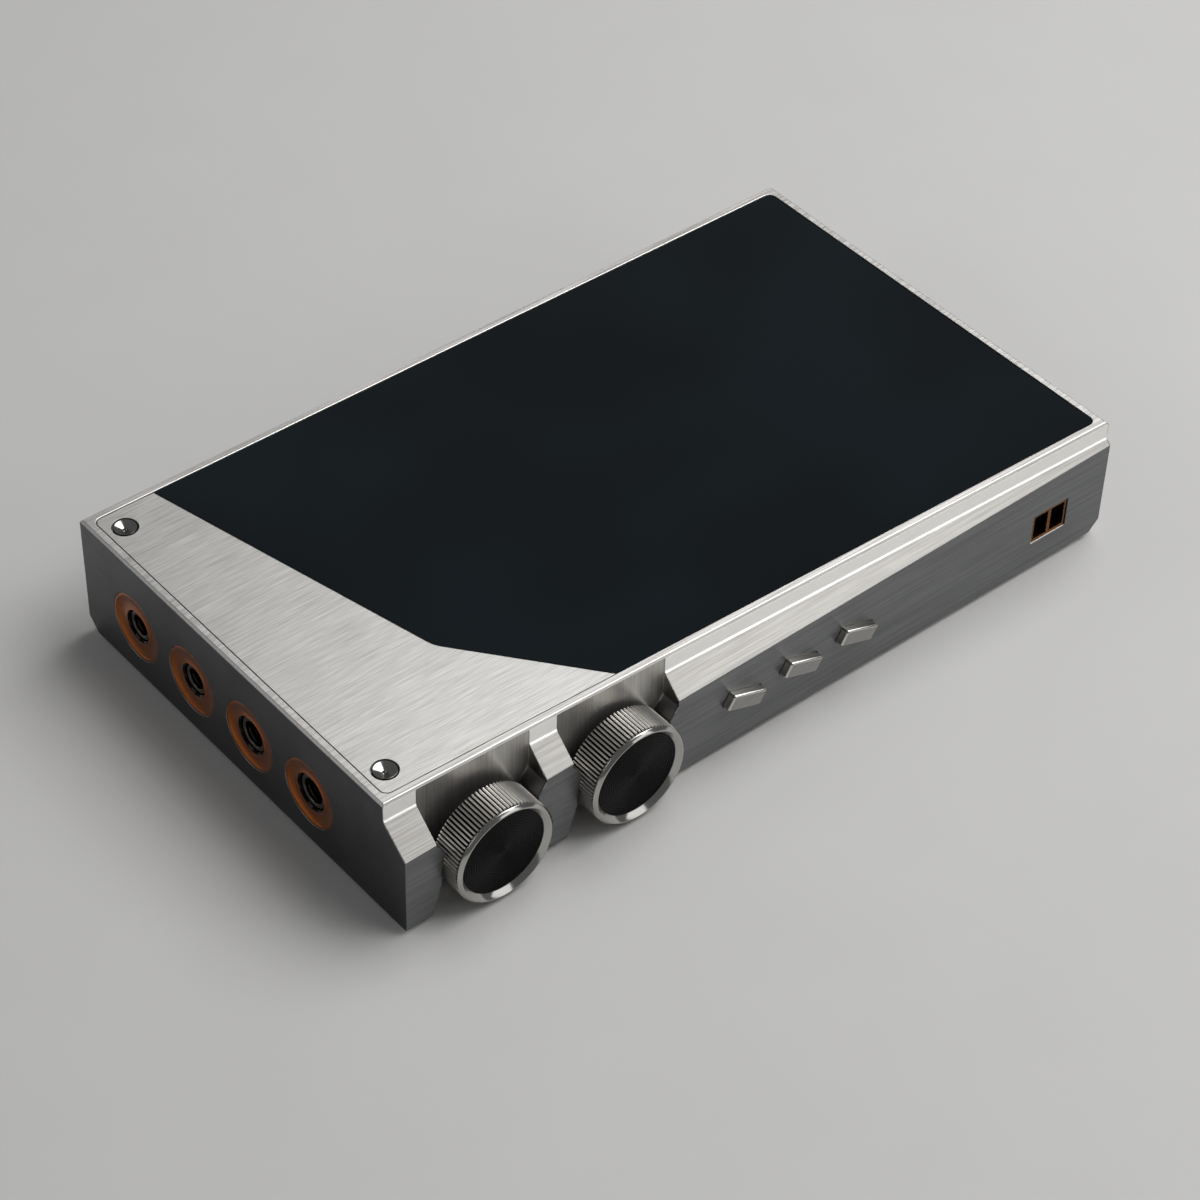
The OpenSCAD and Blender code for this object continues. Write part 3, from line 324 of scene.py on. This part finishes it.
def turned(outline, foot, axis, columns=96):
    """Points of a turned shape. The outline lists (height, radius) in millimetres; point
    (s, t) is foot + height(s) * axis + radius(s) * (cos t * one + sin t * other), where one
    and other stand across the axis."""
    outline = np.array(outline) / 1000
    axis = Vector(axis)
    one = axis.orthogonal().normalized()
    other = axis.cross(one)
    t = np.linspace(0, 2 * np.pi, columns, endpoint=False)
    ring = np.cos(t)[:, None] * np.array(one) + np.sin(t)[:, None] * np.array(other)
    return (np.array(foot) + outline[:, :1, None] * np.array(axis)
            + outline[:, 1:, None] * ring[None])


def dress(piece, finish, body, slot, *nodes):
    """Finishes a new piece: its material and its body, and hides the nodes it stands for. slot
    is not used.
    """
    piece.data.materials.append(finish)
    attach(piece, body)
    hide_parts(*nodes)


# Height and radius of a screw in millimetres. All above its foot is raised until the screw
# is as tall as its CAD node; the way along the outline reaches the crown 6.36 mm after that.
head_r = 2.2
screw_outline = [(0, 0), (0, 0.75), (0.15, 0.9), (3.0, 0.9), (3.0, head_r), (4.05, head_r),
                 (4.15, 2.16), (4.2, 2.07), (4.2, 1.97), (4.17, 1.9), (3.62, 0.62),
                 (3.56, 0.5), (3.1, 0.42), (3.1, 0)]
screw_low, screw_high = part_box("back_screws")
shank = (screw_high.z - screw_low.z) * 1000 - max(height for height, _ in screw_outline)
crown = shank + 6.36
# Polished steel: mirror bright, with turning rings 0.12 mm apart that only catch the light.
polished_steel, tree, shader = start_finish("turned and polished steel", Metallic=1.0,
                                            Anisotropic=0.3)
way = put(tree, "UVMap", uv_map="way")
rings_run = put(tree, "Mapping", {0: way, "Scale": (8000.0, 40.0, 1.0)})
rings = put(tree, "TexNoise", {"Vector": rings_run, "Scale": 1.0, "Detail": 2.0})
tone = put(tree, "Mix", {0: rings, 6: linear("#9C9B99"), 7: linear("#B8B7B4")}, out=2,
           data_type="RGBA")
# The shank and the side of the head, the first part of the map, are painted near black: painted
# shade in the hole.
head_side = put(tree, "MapRange", {0: put(tree, "SeparateXYZ", {0: way}, out="X"),
                                   1: crown / 1000, 2: (crown + 0.04) / 1000})
tone = put(tree, "Mix", {0: head_side, 6: linear("#141312"), 7: tone}, out=2, data_type="RGBA")
tree.links.new(tone, shader.inputs["Base Color"])
tree.links.new(put(tree, "MapRange", {0: rings, 3: 0.12, 4: 0.2}), shader.inputs["Roughness"])
tree.links.new(put(tree, "Bump", {"Strength": 0.12, "Distance": 0.00001, "Height": rings}),
               shader.inputs["Normal"])
tree.links.new(put(tree, "Tangent", direction_type="UV_MAP", uv_map="way"),
               shader.inputs["Tangent"])

screw_y = screw_low.y + head_r / 1000
long_outline = [(height + (shank if height > 1 else 0), radius)
                for height, radius in screw_outline]
screws = skin("back_plate_screws", [
    turned(long_outline, (x, screw_y, screw_low.z), (0, 0, 1), 64)
    for x in (screw_low.x + head_r / 1000, screw_high.x - head_r / 1000)])
dress(screws, polished_steel, "player", "polished_steel", "back_screws")

# ---- knobs ----
# Two steel knobs turned from bar: straight knurling cut with a wheel almost to the front, a
# fine groove, a narrow polished lip and a cone down to the disc. The back is hollow.

teeth = 84
# In metres: where the teeth end, 6.2 mm in front of the knob's back, and the radii at which
# the painted shade in their vees begins and is full.
knob_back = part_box("volume_knob")[0].x
teeth_end = knob_back + 0.0062
vee_shade_edge, vee_shade_full = 0.00972, 0.00960


def knurled_knob(foot):
    """Points of a knob along +X. Its outline lists height, radius and tooth height in
    millimetres; round the knob the radius grows by tooth height * f(p), where p is the
    place within a tooth, 0 to 1, and f = min(1, 1.35 * (1 - |2 p - 1|)): a vee between
    narrow flat crests."""
    outline = np.array([
        (4.5, 0, 0), (4.5, 1.52, 0), (0.5, 1.52, 0), (0.5, 4.2, 0), (1.6, 4.2, 0),
        (1.6, 7.95, 0), (0, 7.95, 0), (0, 9.2, 0), (0.12, 9.38, 0), (0.25, 9.38, 0.52),
        (2.3, 9.38, 0.52), (4.3, 9.38, 0.52), (6.15, 9.38, 0.52), (6.25, 9.38, 0),
        (6.3, 9.3, 0), (6.42, 9.3, 0), (6.47, 9.75, 0), (6.52, 9.86, 0), (6.58, 9.9, 0),
        (6.66, 9.9, 0), (6.72, 9.87, 0), (7.07, 9.5, 0), (7.14, 9.42, 0), (7.19, 9.34, 0),
        (7.2, 9.3, 0), (7.2, 9.24, 0), (7.17, 9.18, 0), (6.36, 8.39, 0), (6.3, 8.33, 0),
        (5.3, 8.32, 0), (5.3, 0, 0)]) / 1000
    t = np.linspace(0, 2 * np.pi, teeth * 8, endpoint=False)
    place = (t * teeth / (2 * np.pi)) % 1.0
    crest = np.minimum(1.0, 1.35 * (1 - np.abs(2 * place - 1)))
    radius = outline[:, 1:2] + outline[:, 2:3] * crest[None]
    along = np.broadcast_to(outline[:, :1], radius.shape)
    return np.array(foot) + np.stack([along, radius * np.cos(t), radius * np.sin(t)], -1)


# Knob steel: as the screws, a shade warmer, with turning rings 0.15 mm apart that show on
# the chamfer.
knob_steel, tree, shader = start_finish("turned, knurled and polished steel", Metallic=1.0,
                                        Anisotropic=0.35)
way = put(tree, "UVMap", uv_map="way")
rings_run = put(tree, "Mapping", {0: way, "Scale": (6500.0, 30.0, 1.0)})
rings = put(tree, "TexNoise", {"Vector": rings_run, "Scale": 1.0, "Detail": 3.0})
# The knurling wheel left no rings: they start in front of the teeth.
spot = put(tree, "TexCoord", out="Object")
at_x = put(tree, "SeparateXYZ", {0: spot}, out="X")
turned_part = put(tree, "MapRange", {0: at_x, 1: teeth_end, 2: teeth_end + hair})
rings = put(tree, "Mix", {0: turned_part, 2: 0.5, 3: rings})
tone = put(tree, "Mix", {0: rings, 6: linear("#A6A4A1"), 7: linear("#C6C4C0")}, out=2,
           data_type="RGBA")
tone = put(tree, "Mix", {0: turned_part, 6: linear("#DEDBD6"), 7: tone}, out=2,
           data_type="RGBA")
# The vees of the teeth are painted nearly black: painted shade.
apart = [put(tree, "VectorMath", {0: put(tree, "VectorMath", {
    0: spot, 1: tuple(place)}, operation="SUBTRACT"), 1: (0.0, 1.0, 1.0)}, operation="MULTIPLY")
    for place in knob_places]
apart = [put(tree, "VectorMath", {0: way_out}, out="Value", operation="LENGTH")
         for way_out in apart]
from_axis = put(tree, "Math", {0: apart[0], 1: apart[1]}, operation="MINIMUM")
in_vee = put(tree, "Math", {
    0: put(tree, "MapRange", {0: from_axis, 1: vee_shade_edge, 2: vee_shade_full}),
    1: put(tree, "MapRange", {0: at_x, 1: teeth_end, 2: teeth_end - hair}),
}, operation="MULTIPLY")
tone = put(tree, "Mix", {0: in_vee, 6: tone, 7: linear("#171513")}, out=2, data_type="RGBA")
tree.links.new(tone, shader.inputs["Base Color"])
# The turned faces are mirror bright, the knurling only satin.
rough = put(tree, "MapRange", {0: rings, 3: 0.08, 4: 0.2})
tree.links.new(put(tree, "Mix", {0: turned_part, 2: 0.4, 3: rough}), shader.inputs["Roughness"])
tree.links.new(put(tree, "Bump", {"Strength": 0.15, "Distance": 0.00001, "Height": rings}),
               shader.inputs["Normal"])
tree.links.new(put(tree, "Tangent", direction_type="UV_MAP", uv_map="way"),
               shader.inputs["Tangent"])

for body, centre in zip(("volume", "select"), knob_places):
    knob = skin(body + "_knob_turned", [knurled_knob((knob_back, centre.y, centre.z))], 28.0)
    dress(knob, knob_steel, body + "_control", "knob_steel", body + "_knob")

# ---- discs in the knobs ----
# An aluminium disc let into each knob, anodised black after fine rings were turned into
# its face, so that it drinks the light except along the rings.

# Anodised over turning marks 0.22 mm apart: nearly black, with a faint sheen that fans out.
disc_black, tree, shader = start_finish("black anodised aluminium, turned rings",
                                        Metallic=1.0, Anisotropic=0.6)
way = put(tree, "UVMap", uv_map="way")
rings_run = put(tree, "Mapping", {0: way, "Scale": (4500.0, 15.0, 1.0)})
rings = put(tree, "TexNoise", {"Vector": rings_run, "Scale": 1.0, "Detail": 3.0})
tone = put(tree, "Mix", {0: rings, 6: linear("#060606"), 7: linear("#0D0D0E")}, out=2,
           data_type="RGBA")
tree.links.new(tone, shader.inputs["Base Color"])
tree.links.new(put(tree, "MapRange", {0: rings, 3: 0.3, 4: 0.42}), shader.inputs["Roughness"])
tree.links.new(put(tree, "Bump", {"Strength": 0.2, "Distance": 0.00001, "Height": rings}),
               shader.inputs["Normal"])
tree.links.new(put(tree, "Tangent", direction_type="UV_MAP", uv_map="way"),
               shader.inputs["Tangent"])

# Rings half a millimetre apart and 0.04 mm deep, drawn a little coarser than the real ones.
# Each is a groove 0.2 mm wide at the face and 0.08 mm at its floor.
disc_face, disc_r, ring_step, ring_depth = 1.0, 8.28, 0.5, 0.04
ring_r = np.arange(7.8, 0.4, -ring_step)
ring_rows = np.stack([np.full((len(ring_r), 4), disc_face) - ring_depth * np.array([0, 1, 1, 0]),
                      ring_r[:, None] + np.array([0.1, 0.04, -0.04, -0.1])], -1).reshape(-1, 2)
disc_outline = [(0, 0), (0, disc_r), (disc_face - 0.1, disc_r),
                (disc_face - 0.03, disc_r - 0.04), (disc_face, disc_r - 0.12),
                *ring_rows.tolist(), (disc_face, 0)]
for body, centre in zip(("volume", "select"), knob_places):
    foot = (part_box(body + "_disc")[0].x, centre.y, centre.z)
    disc = skin(body + "_disc_turned", [turned(disc_outline, foot, (1, 0, 0), 128)], 20.0)
    dress(disc, disc_black, body + "_control", "knob_disc", body + "_disc")

# ---- plug sockets ----
# Each socket has a turned bronze ring, dished and lacquered, let in flush with the end,
# and a dark nickel barrel whose rounded mouth lies a little way inside it.

# Bronze under clear lacquer: a warm orange brown that shines twice, with rings 0.17 mm apart.
ring_bronze, tree, shader = start_finish("turned phosphor bronze, lacquered", Metallic=1.0,
                                         Anisotropic=0.3, Coat_Weight=0.3, Coat_Roughness=0.05)
way = put(tree, "UVMap", uv_map="way")
rings_run = put(tree, "Mapping", {0: way, "Scale": (6000.0, 60.0, 1.0)})
rings = put(tree, "TexNoise", {"Vector": rings_run, "Scale": 1.0, "Detail": 2.0})
tone = put(tree, "Mix", {0: rings, 6: linear("#8F4712"), 7: linear("#B8661F")}, out=2,
           data_type="RGBA")
# The bore and its chamfer, the first 1.68 mm of the map, are painted near black: painted shade
# inside the hole.
bore_way = 0.00168
bore_painted_shade = put(tree, "MapRange", {0: put(tree, "SeparateXYZ", {0: way}, out="X"),
                                   1: bore_way - hair / 10, 2: bore_way + hair / 10})
tone = put(tree, "Mix", {0: bore_painted_shade, 6: linear("#0B0807"), 7: tone}, out=2, data_type="RGBA")
tree.links.new(tone, shader.inputs["Base Color"])
tree.links.new(put(tree, "MapRange", {0: rings, 3: 0.14, 4: 0.22}), shader.inputs["Roughness"])
tree.links.new(put(tree, "Bump", {"Strength": 0.15, "Distance": 0.00001, "Height": rings}),
               shader.inputs["Normal"])
tree.links.new(put(tree, "Tangent", direction_type="UV_MAP", uv_map="way"),
               shader.inputs["Tangent"])

# Black nickel: a dark warm mirror, with turning marks 0.2 mm apart under the plating.
barrel_nickel, tree, shader = start_finish("black nickel plating, polished", Metallic=1.0)
way = put(tree, "UVMap", uv_map="way")
rings_run = put(tree, "Mapping", {0: way, "Scale": (5000.0, 80.0, 1.0)})
rings = put(tree, "TexNoise", {"Vector": rings_run, "Scale": 1.0, "Detail": 2.0})
tone = put(tree, "Mix", {0: rings, 6: linear("#403C38"), 7: linear("#68625B")}, out=2,
           data_type="RGBA")
tree.links.new(tone, shader.inputs["Base Color"])
tree.links.new(put(tree, "MapRange", {0: rings, 3: 0.1, 4: 0.18}), shader.inputs["Roughness"])

# Radii in millimetres: of the rings, and of the four bores, for two sizes of plug. Heights
# of an outline run inwards from the end's own face.
outer = 6.7
for number, bore in enumerate((1.8, 1.8, 2.25, 2.25), 1):
    low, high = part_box(f"jack_ring_{number}")
    foot = ((low.x + high.x) / 2, housing_low.y, (low.z + high.z) / 2)
    inner = bore + 1.17
    # The dish is hollow, deepest two thirds of the way in, and ends in a chamfered bore.
    fall = np.linspace(1, 0, 13)
    dish = np.stack([0.12 + 0.4 * np.sin(0.75 * np.pi * fall),
                     outer - 0.6 + (inner + 0.3 - outer + 0.6) * fall], -1)
    outline = [(2.0, inner), (0.75, inner), (0.7, inner + 0.05), (0.45, inner + 0.28),
               *dish.tolist(), (0.05, outer - 0.52), (0.05, outer - 0.12),
               (0.1, outer - 0.04), (0.2, outer), (2.0, outer), (2.0, inner)]
    ring = skin(f"jack_ring_turned_{number}", [turned(outline, foot, (0, 1, 0), 96)], 30.0)
    dress(ring, ring_bronze, "player", "ring_bronze", f"jack_ring_{number}")
    # The barrel's mouth is a half round; behind it three fine ridges guide the plug.
    lip = np.linspace(0, np.pi, 9)
    mid, half = bore + 0.62, 0.5
    mouth = np.stack([1.05 - 0.25 * np.sin(lip), mid + half * np.cos(lip)], -1)
    ridge = np.linspace(0, 3, 25)
    guide = np.stack([1.35 + ridge * 0.9, bore + 0.12 - 0.12 * np.sin(np.pi * ridge) ** 2], -1)
    wall, back_end = bore + 1.15, 9.8
    outline = [(back_end, wall), (1.1, wall), *mouth.tolist(), *guide.tolist(),
               (4.2, bore), (back_end, bore), (back_end, wall)]
    barrel = skin(f"jack_barrel_turned_{number}", [turned(outline, foot, (0, 1, 0), 72)], 40.0)
    dress(barrel, barrel_nickel, "player", "barrel_nickel", f"jack_barrel_{number}")

# ---- keys ----
# Three slanted steel keys, milled to a leaning parallelogram. Their faces are satin and
# their round edges polished; a flange inside the wall holds each one in.

# Sizes in millimetres: the corner radius, the radius of the polished edge, and how far the
# flange stands out round the key and how thick it is.
corner_r, edge_r, flange_out, flange_t = 0.55, 0.4, 0.7, 0.8
# Satin face with fine brushing 0.25 mm wide along the key, bright where it turns away.
key_steel, tree, shader = start_finish("satin steel with polished edges", Metallic=1.0,
                                       Anisotropic=0.3)
spot = put(tree, "TexCoord", out="Object")
facing_x = put(tree, "SeparateXYZ", {0: put(tree, "NewGeometry", out="Normal")}, out="X")
is_face = put(tree, "MapRange", {0: facing_x, 1: 0.96, 2: 0.995})
brush = put(tree, "TexNoise", {
    "Vector": put(tree, "Mapping", {0: spot, "Scale": (400.0, 120.0, 4000.0)}),
    "Scale": 1.0, "Detail": 3.0})
face_tone = put(tree, "Mix", {0: brush, 6: linear("#8C8B8A"), 7: linear("#ADACAA")}, out=2,
                data_type="RGBA")
tone = put(tree, "Mix", {0: is_face, 6: linear("#D2CFC9"), 7: face_tone}, out=2,
           data_type="RGBA")
tree.links.new(tone, shader.inputs["Base Color"])
tree.links.new(put(tree, "MapRange", {0: is_face, 3: 0.16, 4: 0.34}), shader.inputs["Roughness"])
tree.links.new(put(tree, "Bump", {"Strength": 0.15, "Distance": 0.00001, "Height": brush}),
               shader.inputs["Normal"])


def slanted_key(centre_y, centre_z, rows):
    """Points of a key. Each row gives x in metres, how far its outline is grown in
    millimetres, and its size, where 0 draws it to a point. The outline is four quarter
    circles of radius corner_r + grow about the corners of a leaning parallelogram."""
    half_l, half_h, half_slant, half_lean = 3.25, 0.9, 1.15, 0.55
    corners = np.array([(half_l + half_lean, half_h - half_slant, 0),
                        (-half_l + half_lean, half_h + half_slant, 90),
                        (-half_l - half_lean, -half_h + half_slant, 180),
                        (half_l - half_lean, -half_h - half_slant, 270)])
    turn = np.radians(corners[:, 2:3] + np.linspace(0, 90, 9)[None])
    arc = np.stack([np.cos(turn), np.sin(turn)], -1)
    x, grow, size = np.array(rows).T
    flat = size[:, None, None, None] * (corners[None, :, None, :2]
                                        + (corner_r + grow)[:, None, None, None] * arc[None])
    flat = flat.reshape(len(rows), -1, 2) / 1000
    return np.stack([np.broadcast_to(x[:, None], flat.shape[:2]), centre_y + flat[..., 0],
                     centre_z + flat[..., 1]], -1)


for key_name in ("back", "play", "next"):
    low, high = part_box("key_" + key_name)
    edge_rows = [(high.x - edge_r * (1 - np.sin(turn)) / 1000, -edge_r * (1 - np.cos(turn)), 1)
                 for turn in np.linspace(0, np.pi / 2, 6)]
    flange_x = low.x + flange_t / 1000
    rows = [(low.x, flange_out, 0), (low.x, flange_out, 1), (flange_x, flange_out, 1),
            (flange_x, 0, 1), *edge_rows, (high.x, -edge_r, 0.6), (high.x, -edge_r, 0)]
    key = skin("key_" + key_name + "_milled", [slanted_key(
        (low.y + high.y) / 2, (low.z + high.z) / 2, rows)], 30.0)
    dress(key, key_steel, key_name + "_button", "key_steel", "key_" + key_name)

# ---- side socket, end socket ----
# The side socket is a drawn copper-plated shell with two windows, pressed into its slot.
# The end socket has a tinned steel shell round a moulded black tongue.


def flecked(name, dark, light, fleck_mm, rough, bump_mm=0.0, stretch=(1, 1, 1), **metal):
    """A finish of two tones in flecks of the given size, stretched along each axis, which
    also move its roughness between the two values of rough and raise it by bump_mm."""
    finish, tree, shader = start_finish(name, **metal)
    scale = tuple(1000 / fleck_mm / s for s in stretch)
    run = put(tree, "Mapping", {0: put(tree, "TexCoord", out="Object"), "Scale": scale})
    flecks = put(tree, "TexNoise", {"Vector": run, "Scale": 1.0, "Detail": 3.0})
    span = put(tree, "MapRange", {0: flecks, 1: 0.33, 2: 0.67})
    tone = put(tree, "Mix", {0: span, 6: linear(dark), 7: linear(light)}, out=2,
               data_type="RGBA")
    tree.links.new(tone, shader.inputs["Base Color"])
    tree.links.new(put(tree, "MapRange", {0: span, 3: rough[0], 4: rough[1]}),
                   shader.inputs["Roughness"])
    rounded = put(tree, "Bevel", {"Radius": 0.0001}, samples=4)
    tree.links.new(put(tree, "Bump", {"Strength": 0.5, "Distance": bump_mm / 1000,
                                      "Height": flecks, "Normal": rounded}),
                   shader.inputs["Normal"])
    return finish


# Copper plating, drawn sheet: warm, with soft draw lines along its depth.
wear("side_socket", flecked("copper plated drawn sheet", "#5E3A16", "#825321", 0.3,
                            (0.2, 0.32), 0.01, (8, 1, 1), Metallic=1.0))
# Tinned steel: grey white, a little cloudy.
tin = flecked("tinned sheet steel", "#A8A9A8", "#C6C7C6", 0.8, (0.25, 0.4), 0.01, Metallic=1.0)
for name in ("usb_shell", "processor_shield", "encoder_nuts"):
    wear(name, tin)
# Moulded nylon: dull black, with the faint orange peel of the mould.
nylon = flecked("moulded black nylon", "#0B0B0B", "#151514", 0.3, (0.5, 0.65), 0.01)
for name in ("usb_tongue", "jack_case_1", "jack_case_2", "jack_case_3", "jack_case_4"):
    wear(name, nylon)

# ---- screen side ----
# Toughened glass over the dark display, standing a little proud of the frame. The player
# lies on it. Its border is printed black, and the sleeping display behind is dark grey.

screen_low, screen_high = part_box("screen_glass")
# Width of the black border in metres, at the long edges and at the short ones.
border_x, border_y = 0.004, 0.009
# Glass over a dark display: black at the border, a shade greyer within, with a haze of
# fingers over 8 mm.
screen_glass, tree, shader = start_finish("toughened glass over a sleeping display", IOR=1.5)
spot = put(tree, "TexCoord", out="Object")
at_x = put(tree, "SeparateXYZ", {0: spot}, out="X")
at_y = put(tree, "SeparateXYZ", {0: spot}, out="Y")
from_middle = [put(tree, "Math", {0: put(tree, "Math", {0: place, 1: middle},
                                         operation="SUBTRACT")}, operation="ABSOLUTE")
               for place, middle in ((at_x, (screen_low.x + screen_high.x) / 2),
                                     (at_y, (screen_low.y + screen_high.y) / 2))]
window_x = (screen_high.x - screen_low.x) / 2 - border_x
window_y = (screen_high.y - screen_low.y) / 2 - border_y
in_window = put(tree, "Math", {
    0: put(tree, "MapRange", {0: from_middle[0], 1: window_x, 2: window_x - 2 * hair}),
    1: put(tree, "MapRange", {0: from_middle[1], 1: window_y, 2: window_y - 2 * hair}),
}, operation="MULTIPLY")
tone = put(tree, "Mix", {0: in_window, 6: linear("#050505"), 7: linear("#131417")}, out=2,
           data_type="RGBA")
tree.links.new(tone, shader.inputs["Base Color"])
haze = put(tree, "TexNoise", {"Vector": spot, "Scale": 120.0, "Detail": 3.0})
tree.links.new(put(tree, "MapRange", {0: haze, 1: 0.3, 2: 0.7, 3: 0.03, 4: 0.08}),
               shader.inputs["Roughness"])
wear("screen_glass", screen_glass)
# The display's own black polariser film and its folded steel tray.
wear("display_panel", flecked("black polariser film", "#0E0E10", "#18181B", 2.0, (0.15, 0.25)))

# ---- inside ----
# An aluminium carrier holds the amplifier board, the cells and, on brass posts, the main
# board with its shields. None of it shows unless the back is off.

# Rolled aluminium, milled: lengthwise lines.
wear("carrier_plate", flecked("milled aluminium sheet", "#A9ABAD", "#C4C6C8", 0.4, (0.3, 0.45),
                              0.01, (1, 12, 1), Metallic=1.0))
# Glass-epoxy board under green-black solder mask: the weave shows faintly.
mask = flecked("solder mask on glass epoxy", "#0B2A22", "#14382D", 0.6, (0.3, 0.45), 0.01)
for name in ("amplifier_board", "main_board", "key_board"):
    wear(name, mask)
# Turned brass, plain.
brass = flecked("turned brass", "#B08A3C", "#CDA957", 0.3, (0.2, 0.32), 0.01, Metallic=1.0)
for name in ("low_posts", "tall_posts", "jack_leaves"):
    wear(name, brass)
# Blackened steel: oiled, nearly black.
wear("board_screws", flecked("blackened steel", "#1E1E20", "#343437", 0.3, (0.3, 0.45), 0.01,
                             Metallic=1.0))
# Laminated foil of a pouch cell: silver, softly wrinkled.
foil = flecked("laminated aluminium foil", "#B3B5B8", "#D0D2D4", 4.0, (0.25, 0.4), 0.08,
               Metallic=1.0)
for name in ("battery_cell_a", "battery_cell_b"):
    wear(name, foil)
# Shrink sleeve: blue-black, glossy.
wear("filter_capacitors", flecked("shrunk vinyl sleeve", "#14161F", "#20232E", 1.0,
                                  (0.25, 0.35), 0.01))
# Copper sheet: warm, slightly dulled.
wear("converter_shield", flecked("rolled copper sheet", "#9C6242", "#C08263", 0.8, (0.25, 0.4),
                                 0.01, (1, 6, 1), Metallic=1.0))
# Dark passivated metal of the encoder cases and the key switches.
case = flecked("dark passivated steel", "#28282B", "#3C3C40", 0.4, (0.35, 0.5), 0.01,
               Metallic=0.8)
for name in ("volume_encoder", "select_encoder", "key_switches"):
    wear(name, case)
# Ground steel shafts of the knobs.
shaft = flecked("ground steel rod", "#A9A9A7", "#C4C4C2", 0.2, (0.15, 0.25), 0.005, (20, 1, 1),
                Metallic=1.0)
for name in ("volume_shaft", "select_shaft"):
    wear(name, shaft)

# ---- studio ----
# The player lies on a plain pale table under a large soft lamp, seen from above the corner
# between the socket end and the knob side. In that view the glass mirrors none of the lamps.

# The table is 8 m square and lies a twentieth of a millimetre under the screen glass, so
# that the two never share a plane.
table_half, table_z = 4.0, -0.00005
table = bpy.data.objects.new("table", bpy.data.meshes.new("table"))
table.data.from_pydata([(x * table_half, y * table_half, table_z)
                        for x, y in ((-1, -1), (1, -1), (1, 1), (-1, 1))], [], [(0, 1, 2, 3)])
bpy.context.scene.collection.objects.link(table)
# Matt paint: pale grey, barely mottled over 25 mm.
table_top, tree, shader = start_finish("matt painted table", Roughness=0.9)
mottle = put(tree, "TexNoise", {"Vector": put(tree, "TexCoord", out="Object"), "Scale": 40.0})
tree.links.new(put(tree, "Mix", {0: mottle, 6: linear("#D3D2D0"), 7: linear("#D7D6D4")}, out=2,
                   data_type="RGBA"), shader.inputs["Base Color"])
table.data.materials.append(table_top)


def soft_lamp(name, towards, distance, width, height, radiance):
    """A flat lamp in the given direction from the player, facing it. Its power is
    radiance * pi * area, which makes its surface look radiance times as bright as white."""
    light = bpy.data.lights.new(name, "AREA")
    light.shape, light.size, light.size_y = "RECTANGLE", width, height
    light.energy = radiance * np.pi * width * height
    lamp = bpy.data.objects.new(name, light)
    away = Vector(towards).normalized()
    lamp.matrix_world = Matrix.LocRotScale(away * distance, away.to_track_quat("Z", "Y"), None)
    lamp.visible_camera = False
    bpy.context.scene.collection.objects.link(lamp)


soft_lamp("overhead lamp", (0.15, 0.48, 0.86), 0.9, 0.95, 0.65, 3.5)
soft_lamp("knob side lamp", (0.80, 0.45, 0.40), 0.9, 0.5, 0.4, 1.2)
soft_lamp("socket end lamp", (-0.35, -0.85, 0.55), 1.0, 0.5, 0.4, 1.0)

world = bpy.data.worlds.new("dim studio")
world.use_nodes = True
world.node_tree.nodes["Background"].inputs["Color"].default_value = linear("#676869")
world.node_tree.nodes["Background"].inputs["Strength"].default_value = 1.0
bpy.context.scene.world = world

# The camera stands where the edges of the player line up with the photograph: its place in
# metres, and which way its own right and back point.
camera = bpy.data.objects.new("camera", bpy.data.cameras.new("camera"))
bpy.context.scene.collection.objects.link(camera)
camera.data.sensor_width = 36.0
camera.data.lens = 100.84
camera.data.shift_x = 0.0021
right = Vector((0.636721, 0.770763, 0.022587)).normalized()
back = Vector((0.556436, -0.479552, 0.678534)).normalized()
up = back.cross(right)
seen_from = Vector((0.33889, -0.29510, 0.41114))
camera.matrix_world = Matrix.Translation(seen_from) @ Matrix(
    (right, up, back)).transposed().to_4x4()
bpy.context.scene.camera = camera
bpy.context.scene.view_settings.view_transform = "Standard"
